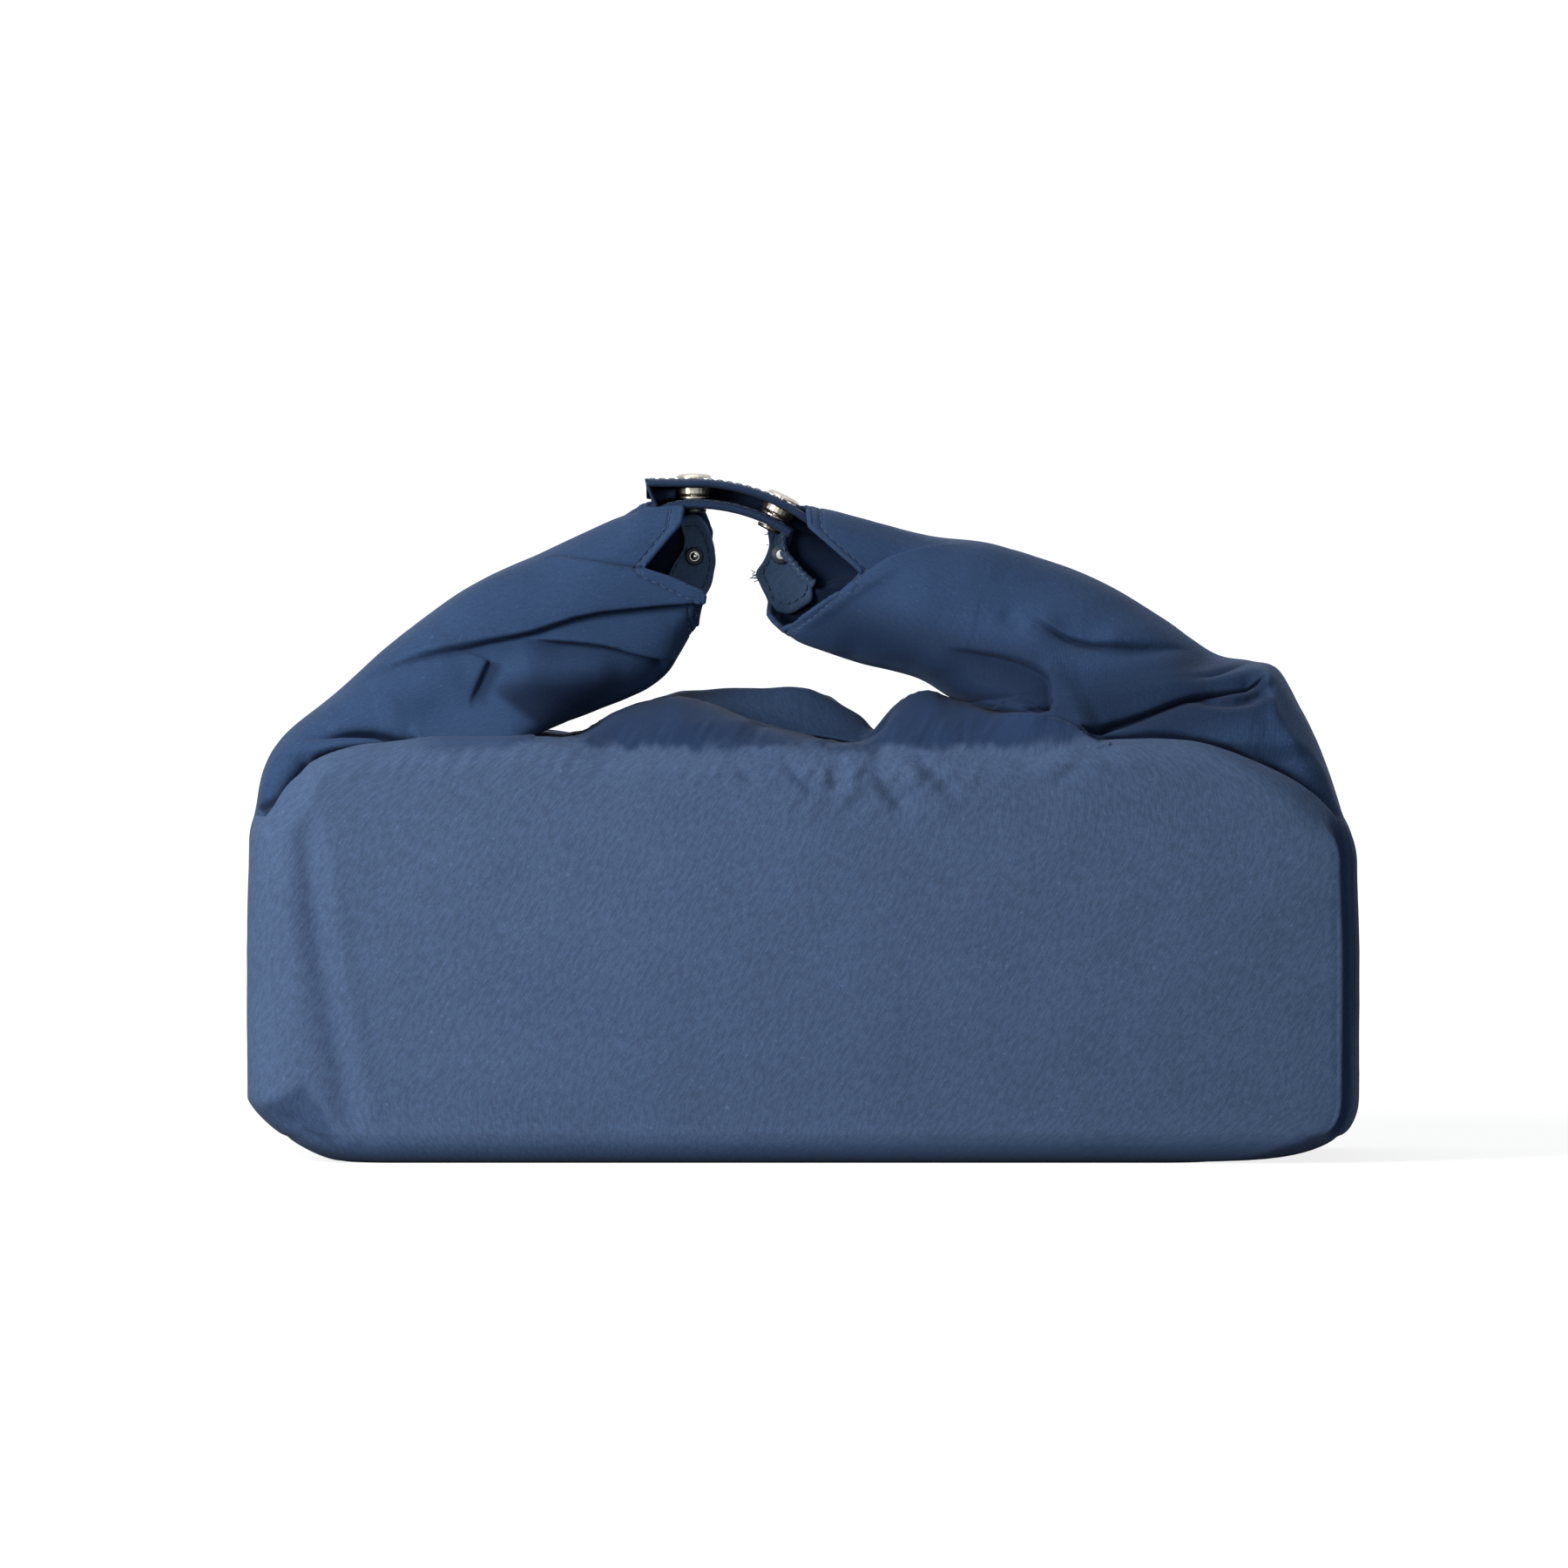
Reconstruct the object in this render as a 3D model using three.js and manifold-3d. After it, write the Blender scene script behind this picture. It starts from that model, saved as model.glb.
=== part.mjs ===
// A cloth lunch bag whose two gathered ends snap together over the top as a carrying handle.
// Millimetres, +X to the right, +Y to the back, +Z up. The origin is on the floor, under the
// middle of the bag. The bag is shown snapped shut.
import * as THREE from "three";
import { mergeVertices } from "three/addons/utils/BufferGeometryUtils.js";
import Module from "manifold-3d";

// Box of the bag
const bagLength = 319;
const bagDepth = 120;
const boxHeight = 118.75;
const planCornerRadius = 15;
const bottomEdgeRadius = 8;
const topRollRadius = 9;
const faceCrown = 1.5;
const leftToe = { run: 22, rise: 16, power: 1.25 };
const rightToe = { run: 40, rise: 20, power: 2.6 };
const leftShoulder = { run: 31, rise: 27 };
const rightShoulder = { run: 50, rise: 33 };

// Layers of the walls, from the outside in
const clothThickness = 0.9;
const layerGap = 0.3;
const foamThickness = 3;
const liningThickness = 0.6;
const seamGap = 0.3;
const bottomSeamHeight = 5.2;
const foamTopDrop = 12.75;
const liningTopDrop = 7.75;

// Handle horns: gathered cloth tubes that rise from the ends of the box
const hornThickness = 1.2;
const hornRootSquareness = 9;
const hornSquareness = 3.2;
const squareRibs = 5;
const hornRootHalfWidth = 50;
const hornSideGap = 0.6;
const leftHingeDrop = 18.75;
const rightHingeDrop = 20.75;
const leftHinge = { x: -157.6, z: boxHeight - leftHingeDrop };
const rightHinge = { x: 155.4, z: boxHeight - rightHingeDrop };
const hingeClearance = 0.4;

// Snap tabs, which arch over the hand gap on one common curve
const tabWidth = 24;
const tabSideGap = 0.7;
const leftSlotDepth = 14.8;
const rightSlotDepth = 24.8;
const rightSlotTop = 7.8;
const rightSlot = { left: -40, right: -1 };
const upperTabThickness = 2.2;
const lowerTabThickness = 2.6;
const tabSpacing = 3.6;
const tabCrownRise = 71.05;
const tabCrown = { x: -31.5, z: boxHeight + tabCrownRise };
const tabArchRadius = 52;
const lowerTabRootRadius = 27;
const lowerTabRootAngle = -29;
const lowerTabTipAngle = 33;
const upperTabOverhang = 13.5;
const upperTabRootAngle = 35.5;

// Snap fasteners
const snapPitch = 24;
const snapSegments = 24;
const tabSnap = { cap: 5, socket: 4.7, cavity: 2.7, flange: 4.4, head: 1.7, disc: 3.6 };
const hemSnap = { cap: 2.8, socket: 2.6, cavity: 1.5, flange: 2.7, head: 1.2, disc: 2.2 };
const capHeight = 1.3;
const socketHeight = 2.1;
const socketCavityDepth = 1.6;
const studFlangeHeight = 0.6;
const studHeadHeight = 1.5;
const postRadius = 1;
const postHoleClearance = 0.4;
const holeLength = 24;
const postDiscHeight = 1;
const postPitRadius = 1.1;
const postPitDepth = 0.5;
const snapGap = 0.3;

// Hems of the horns' mouths, each with one more half of a snap
const hemThickness = 2.2;
const hemSetIn = 16.1;
const hemGap = 0.4;
const hemCutStart = 4;
const leftHemSnapAt = { x: -31.4, rise: 54.25 };
const rightHemSnapAt = { x: -6.5, rise: 54.75 };

// Lips: the cloth that closes the mouth of the box
const lipThickness = 1.2;
const lipLeftEnd = -80;
const lipRightEnd = 75;
const lipMeetingGap = 1.2;
const lipRootGap = 0.4;
const lipRise = 1.2;
const frontSwells = [
  { middle: -37, halfWidth: 42, height: 13 },
  { middle: 33.5, halfWidth: 19, height: 12.5 },
  { middle: 56, halfWidth: 32, height: 7.5 },
];
const backSwells = [
  { middle: -28, halfWidth: 38, height: 12 },
  { middle: 1, halfWidth: 26, height: 12 },
  { middle: 35, halfWidth: 22, height: 6 },
];

const material = {
  cloth: new THREE.MeshStandardMaterial({ color: 0x435a80, roughness: 0.85, metalness: 0 }),
  hem: new THREE.MeshStandardMaterial({ color: 0x3a5078, roughness: 0.85, metalness: 0 }),
  lining: new THREE.MeshStandardMaterial({ color: 0x5a5f6b, roughness: 0.7, metalness: 0 }),
  foam: new THREE.MeshStandardMaterial({ color: 0xe6e6e2, roughness: 0.95, metalness: 0 }),
  board: new THREE.MeshStandardMaterial({ color: 0x2a2c30, roughness: 0.8, metalness: 0 }),
  metal: new THREE.MeshStandardMaterial({ color: 0xb9b4a8, roughness: 0.3, metalness: 1 }),
};

const wasm = await Module();
wasm.setup();

// Basic shapes

const radians = THREE.MathUtils.degToRad;
const point = (x, y, z) => new THREE.Vector3(x, y, z);

function solidOf(geometry) {
  const bare = new THREE.BufferGeometry();
  const flat = geometry.index ? geometry.toNonIndexed() : geometry;
  bare.setAttribute("position", flat.getAttribute("position"));
  const merged = mergeVertices(bare, 1e-4);
  const corners = merged.index.array;
  const kept = [];
  for (let i = 0; i < corners.length; i += 3) {
    const [a, b, c] = [corners[i], corners[i + 1], corners[i + 2]];
    if (a !== b && b !== c && c !== a) kept.push(a, b, c);
  }
  return new wasm.Manifold(
    new wasm.Mesh({
      numProp: 3,
      vertProperties: merged.attributes.position.array,
      triVerts: new Uint32Array(kept),
    }),
  );
}

function geometryOf(solid) {
  const mesh = solid.getMesh();
  const positions = new Float32Array(mesh.numVert * 3);
  for (let i = 0; i < mesh.numVert; i++) {
    const start = i * mesh.numProp;
    positions.set(mesh.vertProperties.subarray(start, start + 3), i * 3);
  }
  const geometry = new THREE.BufferGeometry();
  geometry.setAttribute("position", new THREE.BufferAttribute(positions, 3));
  geometry.setIndex(new THREE.BufferAttribute(mesh.triVerts.slice(), 1));
  geometry.computeVertexNormals();
  return geometry;
}

// Joins the points of a grid into triangles. rows[i][j] is a point, and reversed turns the faces.
function addGrid(triangles, rows, { closed, reversed }) {
  const columns = rows[0].length;
  const last = closed ? columns : columns - 1;
  for (let i = 0; i + 1 < rows.length; i++) {
    for (let j = 0; j < last; j++) {
      const next = (j + 1) % columns;
      const [a, b, c, d] = [rows[i][j], rows[i][next], rows[i + 1][next], rows[i + 1][j]];
      if (reversed) triangles.push(a, c, b, a, d, c);
      else triangles.push(a, b, c, a, c, d);
    }
  }
}

function solidOfTriangles(triangles) {
  return solidOf(new THREE.BufferGeometry().setFromPoints(triangles));
}

// The solid between an outer and an inner grid that both close on themselves sideways.
function tubeWall(outer, inner, { poleAtStart }) {
  const triangles = [];
  addGrid(triangles, outer, { closed: true, reversed: false });
  addGrid(triangles, inner, { closed: true, reversed: true });
  const end = outer.length - 1;
  addGrid(triangles, [outer[end], inner[end]], { closed: true, reversed: false });
  if (!poleAtStart) addGrid(triangles, [outer[0], inner[0]], { closed: true, reversed: true });
  return solidOfTriangles(triangles);
}

// The solid between an upper and a lower grid with four free edges.
function sheetBetween(upper, lower) {
  const triangles = [];
  addGrid(triangles, upper, { closed: false, reversed: false });
  addGrid(triangles, lower, { closed: false, reversed: true });
  const end = upper.length - 1;
  const side = upper[0].length - 1;
  addGrid(triangles, [upper[0], lower[0]], { closed: false, reversed: true });
  addGrid(triangles, [upper[end], lower[end]], { closed: false, reversed: false });
  const edge = (rows, column) => rows.map((row) => row[column]);
  addGrid(triangles, [edge(upper, 0), edge(lower, 0)], { closed: false, reversed: false });
  addGrid(triangles, [edge(upper, side), edge(lower, side)], { closed: false, reversed: true });
  return solidOfTriangles(triangles);
}

// The grid moved inwards by a distance, along its own normals.
function insetGrid(rows, distance) {
  return rows.map((row, i) =>
    row.map((here, j) => {
      const columns = row.length;
      const along = row[(j + 1) % columns].clone().sub(row[(j + columns - 1) % columns]);
      if (along.length() < 1e-6) return here.clone().add(point(0, 0, distance));
      const above = rows[Math.min(i + 1, rows.length - 1)][j];
      const below = rows[Math.max(i - 1, 0)][j];
      const normal = along.cross(above.clone().sub(below)).normalize();
      return here.clone().addScaledVector(normal, -distance);
    }),
  );
}

function boxSolid(low, high) {
  const geometry = new THREE.BoxGeometry(high.x - low.x, high.y - low.y, high.z - low.z);
  geometry.translate((low.x + high.x) / 2, (low.y + high.y) / 2, (low.z + high.z) / 2);
  return solidOf(geometry);
}

// A plate with its outline in the XZ plane, from front to back along Y.
function plateSolid(outline, front, back) {
  const shape = new THREE.Shape(outline.map(([x, z]) => new THREE.Vector2(x, z)));
  const geometry = new THREE.ExtrudeGeometry(shape, { depth: back - front, bevelEnabled: false });
  geometry.rotateX(Math.PI / 2);
  geometry.translate(0, back, 0);
  return solidOf(geometry);
}

// A turned piece about the local Z axis. The profile is a list of [radius, height].
function turned(profile) {
  const points = profile.map(([radius, height]) => new THREE.Vector2(radius, height));
  const geometry = new THREE.LatheGeometry(points, snapSegments);
  geometry.rotateX(Math.PI / 2);
  return solidOf(geometry);
}

function mesh(name, solid, look) {
  const made = new THREE.Mesh(geometryOf(solid), look);
  made.name = name;
  return made;
}

// Walls of the box

// How far a rounded corner draws the wall in, from all of its run at share 0 to none at share 1.
const cornerDraw = (share, power) => 1 - (1 - (1 - share) ** power) ** (1 / power);

function leftWallAt(z) {
  const toe = z < leftToe.rise ? leftToe.run * cornerDraw(z / leftToe.rise, leftToe.power) : 0;
  const left = (boxHeight - z) / leftShoulder.rise;
  const shoulder = left < 1 ? leftShoulder.run * cornerDraw(left, 2) : 0;
  return -bagLength / 2 + toe + shoulder;
}

function rightWallAt(z) {
  const toe = z < rightToe.rise ? rightToe.run * cornerDraw(z / rightToe.rise, rightToe.power) : 0;
  const left = (boxHeight - z) / rightShoulder.rise;
  const shoulder = left < 1 ? rightShoulder.run * cornerDraw(left, 2) : 0;
  return bagLength / 2 - toe - shoulder;
}

function halfDepthAt(z) {
  const low = z < bottomEdgeRadius ? bottomEdgeRadius * cornerDraw(z / bottomEdgeRadius, 2) : 0;
  const left = (boxHeight - z) / topRollRadius;
  const high = left < 1 ? topRollRadius * cornerDraw(left, 2) : 0;
  return bagDepth / 2 - faceCrown - low - high;
}

// One level ring of the box, counterclockwise from above, starting at the front left.
function boxRing(z, shrink = 1) {
  const [left, right, half] = [leftWallAt(z), rightWallAt(z), halfDepthAt(z)];
  const radius = planCornerRadius;
  const ring = [];
  const straight = (from, to, count) => {
    for (let i = 1; i < count; i++) ring.push(from.clone().lerp(to, i / count));
  };
  const arc = (x, y, start) => {
    for (let i = 0; i <= 4; i++) {
      const angle = radians(start + (90 * i) / 4);
      ring.push(point(x + radius * Math.cos(angle), y + radius * Math.sin(angle), z));
    }
  };
  straight(point(left + radius, -half, z), point(right - radius, -half, z), 6);
  arc(right - radius, -half + radius, -90);
  straight(point(right, -half + radius, z), point(right, half - radius, z), 2);
  arc(right - radius, half - radius, 0);
  straight(point(right - radius, half, z), point(left + radius, half, z), 6);
  arc(left + radius, half - radius, 90);
  straight(point(left, half - radius, z), point(left, -half + radius, z), 2);
  arc(left + radius, -half + radius, 180);
  const crown = faceCrown * Math.sin((Math.PI * z) / boxHeight);
  return ring.map((p) => {
    const across = Math.cos((Math.PI * p.x) / bagLength);
    const out = crown * Math.max(across, 0) * (p.y / half);
    return point(p.x * shrink, (p.y + out) * shrink, z);
  });
}

const roll = (share) => boxHeight - topRollRadius * (1 - share);
const ringHeights = [0.9, 3, 5.6, 8, 12, 20, 50, 80, 90, 98, 104, roll(0.35), roll(0.68), roll(0.9), boxHeight];
const boxGrid = [boxRing(0, 0), boxRing(0), ...ringHeights.map((z) => boxRing(z))];

const clothWall = tubeWall(boxGrid, insetGrid(boxGrid, clothThickness), { poleAtStart: true });
const foamOutside = clothThickness + layerGap;
const foamInside = foamOutside + foamThickness;
const foamWall = tubeWall(insetGrid(boxGrid, foamOutside), insetGrid(boxGrid, foamInside), {
  poleAtStart: true,
});
const liningOutside = foamInside + layerGap;
const liningInside = liningOutside + liningThickness;
const liningWall = tubeWall(insetGrid(boxGrid, liningOutside), insetGrid(boxGrid, liningInside), {
  poleAtStart: true,
});

// Space that the horns turn in, where the end walls of the box are cut down to their hinges
const reach = bagLength + bagDepth;
const hornBay = hornRootHalfWidth + hornSideGap;
const leftBay = boxSolid(
  point(-reach, -hornBay, leftHinge.z - hingeClearance),
  point(lipLeftEnd, hornBay, reach),
);
const rightBay = boxSolid(
  point(lipRightEnd, -hornBay, rightHinge.z - hingeClearance),
  point(reach, hornBay, reach),
);
const withoutBays = (solid) => solid.subtract(leftBay).subtract(rightBay);

// Upright seams: each line leans a little, as it does on the bag
const leftSeam = { top: -146, bottom: -134 };
const rightSeam = { top: 151, bottom: 149 };
const sideSeamInset = 30;

// The part of the box in front of the upright seams, grown by a margin on its three seam sides.
function frontRegion(low, high, margin) {
  const outline = [
    [leftSeam.bottom - margin, low],
    [rightSeam.bottom + margin, low],
    [rightSeam.top + margin, high],
    [leftSeam.top - margin, high],
  ];
  return plateSolid(outline, -reach, margin - sideSeamInset);
}

function cutWalls(wall, low, high) {
  const half = seamGap / 2;
  const front = frontRegion(low, high, -half);
  const cleared = frontRegion(low - 1, high + 1, half);
  const ends = wall.subtract(cleared).subtract(cleared.mirror([0, 1, 0]));
  return {
    front: wall.intersect(front),
    back: wall.intersect(front.mirror([0, 1, 0])),
    left: ends.intersect(boxSolid(point(-reach, -reach, low), point(0, reach, high))),
    right: ends.intersect(boxSolid(point(0, -reach, low), point(reach, reach, high))),
  };
}

function boxPieces() {
  const cloth = cutWalls(withoutBays(clothWall), bottomSeamHeight + seamGap, boxHeight + 1);
  const foamLow = foamInside + layerGap;
  const foam = cutWalls(withoutBays(foamWall), foamLow, boxHeight - foamTopDrop);
  const allRound = (low, high) => boxSolid(point(-reach, -reach, low), point(reach, reach, high));
  const floorCloth = clothWall.intersect(allRound(-1, bottomSeamHeight));
  const boardMargin = 5;
  const [boardLeft, boardRight] = [leftWallAt(0) + boardMargin, rightWallAt(0) - boardMargin];
  const boardHalf = halfDepthAt(0) - boardMargin;
  const board = boxSolid(
    point(boardLeft, -boardHalf, foamOutside),
    point(boardRight, boardHalf, foamInside),
  );
  const lining = withoutBays(liningWall).intersect(allRound(-1, boxHeight - liningTopDrop));
  return [
    mesh("front_panel", cloth.front, material.cloth),
    mesh("back_panel", cloth.back, material.cloth),
    mesh("left_gusset", cloth.left, material.cloth),
    mesh("right_gusset", cloth.right, material.cloth),
    mesh("bottom_panel", floorCloth, material.cloth),
    mesh("front_foam", foam.front, material.foam),
    mesh("back_foam", foam.back, material.foam),
    mesh("left_foam", foam.left, material.foam),
    mesh("right_foam", foam.right, material.foam),
    mesh("base_board", board, material.board),
    mesh("lining", lining, material.lining),
  ];
}

// Lips over the mouth of the box

// Rise of a lip at x, which is the sum of its soft swells.
function riseAt(x, swells) {
  let rise = lipRise;
  for (const { middle, halfWidth, height } of swells) {
    const share = Math.abs(x - middle) / halfWidth;
    if (share < 1) rise += height * Math.cos((Math.PI / 2) * share) ** 2;
  }
  return rise;
}

function lipSolid(swells, side) {
  const rootHalf = halfDepthAt(boxHeight) - lipRootGap;
  const [across, along] = [26, 5];
  const upper = [];
  const lower = [];
  for (let i = 0; i <= along; i++) {
    const share = i / along;
    const y = side * THREE.MathUtils.lerp(rootHalf, lipMeetingGap / 2, share);
    const rows = [[], []];
    for (let j = 0; j <= across; j++) {
      const x = THREE.MathUtils.lerp(lipLeftEnd, lipRightEnd, j / across);
      const z = boxHeight + riseAt(x, swells) * Math.sin((Math.PI / 2) * share);
      rows[0].push(point(x, y, z));
      rows[1].push(point(x, y, z - lipThickness));
    }
    upper.push(rows[0]);
    lower.push(rows[1]);
  }
  const solid = side < 0 ? sheetBetween(upper, lower) : sheetBetween(lower, upper);
  return solid;
}

// Horns

// Each rib is a closed ring across the horn: the x and the height over the top of the box of
// its lowest point, those of its highest point, and its half width.
const leftRibs = [
  [-82, 2.25, -156.7, -18.25, 50],
  [-78.5, 3.65, -153.8, -6.75, 48.5],
  [-75, 4.85, -147, 3.75, 45.5],
  [-71, 6.05, -135, 12.75, 41.5],
  [-67, 7.45, -121, 27.25, 37],
  [-62, 9.25, -107, 38.75, 33],
  [-56, 11.55, -92, 47.75, 29.5],
  [-50, 13.85, -77, 54.75, 26.5],
  [-44.5, 16.45, -63, 60.75, 24],
  [-39, 20.85, -52, 65.05, 21.5],
  [-35.5, 26.25, -42, 67.25, 19.5],
  [-31.5, 33.25, -32, 68.25, 18.4],
];
const rightRibs = [
  [80, 3.25, 154.4, -20.15, 50],
  [73, 6.45, 151.4, -9.75, 48.8],
  [66, 8.45, 147.6, 0.75, 46.5],
  [57.5, 9.85, 143, 11.75, 43.5],
  [49.5, 11.25, 135.2, 22.25, 40],
  [41.5, 14.45, 119, 27.75, 36.5],
  [34, 18.85, 104, 36.25, 33],
  [25, 21.45, 88.5, 45.25, 30],
  [16, 23.65, 71, 53.25, 27],
  [8, 26.05, 54, 58.25, 24.5],
  [0, 29.25, 36, 60.05, 22],
  [-5.5, 32.45, 19, 63.45, 20],
  [-9.5, 36.25, 2.6, 65.85, 18.4],
];
const hornColumns = 20;

function ribRing([lowX, lowRise, highX, highRise, halfWidth], index) {
  const ring = [];
  const rounding = Math.min(index / squareRibs, 1);
  const power = 2 / THREE.MathUtils.lerp(hornRootSquareness, hornSquareness, rounding);
  const soften = (value) => Math.sign(value) * Math.abs(value) ** power;
  for (let i = 0; i < hornColumns; i++) {
    const angle = (2 * Math.PI * i) / hornColumns;
    const height = (1 + soften(Math.cos(angle))) / 2;
    const x = THREE.MathUtils.lerp(lowX, highX, height);
    const z = boxHeight + THREE.MathUtils.lerp(lowRise, highRise, height);
    ring.push(point(x, halfWidth * soften(Math.sin(angle)), z));
  }
  return ring;
}

function hornTube(ribs, side) {
  const grid = ribs.map(ribRing);
  if (side < 0) grid.forEach((row) => row.reverse());
  return tubeWall(grid, insetGrid(grid, hornThickness), { poleAtStart: false });
}

// Outlines of the hems and of the notch in the front of each mouth, as x and as height over
// the top of the box.
const leftHemOutline = [
  [-37, 67.25],
  [-37, 41.25],
  [-33, 38.25],
  [-29, 41.25],
  [-26.2, 46.25],
  [-25.2, 52.25],
  [-26.4, 59.25],
  [-30, 66.25],
];
const leftNotch = [
  [-30.5, 73.25],
  [-47, 50.75],
  [-27, 43.25],
  [-10, 43.25],
  [-10, 73.25],
];
const rightHemOutline = [
  [-2, 64.25],
  [-9, 61.75],
  [-12.4, 55.25],
  [-13.6, 49.25],
  [-12, 42.25],
  [-9, 37.75],
  [-2, 39.25],
];
const rightNotch = [
  [2, 66.25],
  [17, 50.25],
  [-7, 32.25],
  [-30, 32.25],
  [-30, 66.25],
];

const raised = (outline) => outline.map(([x, rise]) => [x, boxHeight + rise]);

function grown(outline, by) {
  const middleX = outline.reduce((sum, [x]) => sum + x, 0) / outline.length;
  const middleZ = outline.reduce((sum, [, z]) => sum + z, 0) / outline.length;
  return outline.map(([x, z]) => {
    const away = new THREE.Vector2(x - middleX, z - middleZ);
    away.setLength(away.length() + by * 1.5);
    return [middleX + away.x, middleZ + away.y];
  });
}

// What is cut from a horn's wall at its mouth: the notch in front, and the room for the hem.
function withMouth(tube, notch, hem) {
  return tube
    .subtract(plateSolid(raised(notch), -hornRootHalfWidth, 0))
    .subtract(plateSolid(grown(raised(hem), hemGap), hemCutStart, hornRootHalfWidth));
}

function leftHorn() {
  const half = tabWidth / 2 + tabSideGap;
  const root = tabPoint(lowerTabRootRadius, lowerTabRootAngle, lowerTabRootRadius);
  const tabSlot = boxSolid(
    point(root.x - hingeClearance, -half, tabCrown.z - leftSlotDepth),
    point(0, reach, reach),
  );
  return withMouth(hornTube(leftRibs, -1).subtract(tabSlot), leftNotch, leftHemOutline);
}

function rightHorn() {
  const half = tabWidth / 2 + tabSideGap;
  const tabSlot = boxSolid(
    point(rightSlot.left, -half, tabCrown.z - rightSlotDepth),
    point(rightSlot.right, half, tabCrown.z - rightSlotTop),
  );
  return withMouth(hornTube(rightRibs, 1).subtract(tabSlot), rightNotch, rightHemOutline);
}

// Tabs

// A point over the tab curve: its angle from the crown, and its distance from the centre of an
// arc whose radius on the top face of the lower tab is given.
function tabPoint(arcRadius, angle, distance) {
  const turn = radians(angle);
  return {
    x: tabCrown.x + distance * Math.sin(turn),
    z: tabCrown.z - arcRadius + distance * Math.cos(turn),
  };
}

function tabArc(arcRadius, distance, from, to, steps) {
  const line = [];
  for (let i = 0; i <= steps; i++) {
    const { x, z } = tabPoint(arcRadius, THREE.MathUtils.lerp(from, to, i / steps), distance);
    line.push([x, z]);
  }
  return line;
}

function lowerTabOutline() {
  const [big, small, thick] = [tabArchRadius, lowerTabRootRadius, lowerTabThickness];
  const top = [
    ...tabArc(small, small, lowerTabRootAngle, 0, 4),
    ...tabArc(big, big, 0, lowerTabTipAngle, 6).slice(1),
  ];
  const under = [
    ...tabArc(small, small - thick, lowerTabRootAngle, 0, 4),
    ...tabArc(big, big - thick, 0, lowerTabTipAngle, 6).slice(1),
  ];
  return [...under, ...top.reverse()];
}

function upperTabOutline() {
  const [big, low] = [tabArchRadius, tabArchRadius + tabSpacing];
  const high = low + upperTabThickness;
  const tip = tabCrown.x - upperTabOverhang;
  const under = [[tip, tabCrown.z + tabSpacing], ...tabArc(big, low, 0, upperTabRootAngle, 6)];
  const top = [
    [tip, tabCrown.z + tabSpacing + upperTabThickness],
    ...tabArc(big, high, 0, upperTabRootAngle, 6),
  ];
  return [...under, ...top.reverse()];
}

const snapAngles = [0, THREE.MathUtils.radToDeg(snapPitch / tabArchRadius)];

// A group whose origin lies on the top face of the lower tab, with +Z along the snap.
function snapPlace(angle) {
  const place = new THREE.Group();
  const { x, z } = tabPoint(tabArchRadius, angle, tabArchRadius);
  place.position.set(x, 0, z);
  place.rotation.y = radians(angle);
  place.updateMatrix();
  return place;
}

function postHole(angle) {
  const radius = postRadius + postHoleClearance;
  const geometry = new THREE.CylinderGeometry(radius, radius, holeLength, snapSegments);
  geometry.rotateX(Math.PI / 2);
  geometry.applyMatrix4(snapPlace(angle).matrix);
  return solidOf(geometry);
}

function tabSolid(outline) {
  const blank = plateSolid(outline, -tabWidth / 2, tabWidth / 2);
  return snapAngles.reduce((solid, angle) => solid.subtract(postHole(angle)), blank);
}

// Snap fasteners. Each is turned about +Z, with its cloth at heights from clothLow to clothHigh.

function capSolid({ cap }, clothLow, clothHigh) {
  const base = clothHigh + snapGap;
  return turned([
    [0, clothLow],
    [postRadius, clothLow],
    [postRadius, base],
    [cap, base],
    [cap, base + 0.4],
    [cap * 0.86, base + capHeight * 0.72],
    [cap * 0.55, base + capHeight * 0.95],
    [0, base + capHeight],
  ]);
}

// The socket hangs under its cloth, with its cavity open downwards.
function socketSolid({ socket, cavity }, clothLow) {
  const top = clothLow - snapGap;
  const bottom = top - socketHeight;
  return turned([
    [0, bottom + socketCavityDepth],
    [cavity, bottom + socketCavityDepth],
    [cavity, bottom],
    [socket * 0.86, bottom],
    [socket, bottom + 0.5],
    [socket, top],
    [0, top],
  ]);
}

function studSolid({ flange, head }, clothHigh) {
  const base = clothHigh + snapGap;
  const seat = base + studFlangeHeight;
  const dome = [0, 30, 55, 75].map((angle) => [
    head * Math.cos(radians(angle)),
    seat + studHeadHeight * (0.2 + 0.8 * Math.sin(radians(angle))),
  ]);
  return turned([
    [0, base],
    [flange, base],
    [flange, seat - 0.2],
    [flange - 0.4, seat],
    [head, seat],
    ...dome,
    [0, seat + studHeadHeight],
  ]);
}

// The post's disc lies under its cloth, with a pit in the middle, and its stem goes up through it.
function postSolid({ disc }, clothLow, clothHigh) {
  const top = clothLow - snapGap;
  const bottom = top - postDiscHeight;
  return turned([
    [0, bottom + postPitDepth],
    [postPitRadius, bottom + postPitDepth],
    [postPitRadius, bottom],
    [disc - 0.4, bottom],
    [disc, bottom + 0.4],
    [disc, top],
    [postRadius, top],
    [postRadius, clothHigh],
    [0, clothHigh],
  ]);
}

function joinedSnap(letter, angle) {
  const place = snapPlace(angle);
  const upperLow = tabSpacing;
  const upperHigh = tabSpacing + upperTabThickness;
  place.add(mesh("snap_" + letter + "_cap", capSolid(tabSnap, upperLow, upperHigh), material.metal));
  place.add(mesh("snap_" + letter + "_socket", socketSolid(tabSnap, upperLow), material.metal));
  place.add(mesh("snap_" + letter + "_stud", studSolid(tabSnap, 0), material.metal));
  place.add(mesh("snap_" + letter + "_post", postSolid(tabSnap, -lowerTabThickness, 0), material.metal));
  return place;
}

// Hems with a loose half of a snap each. The half's +Z points to the front of the bag.

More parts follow.
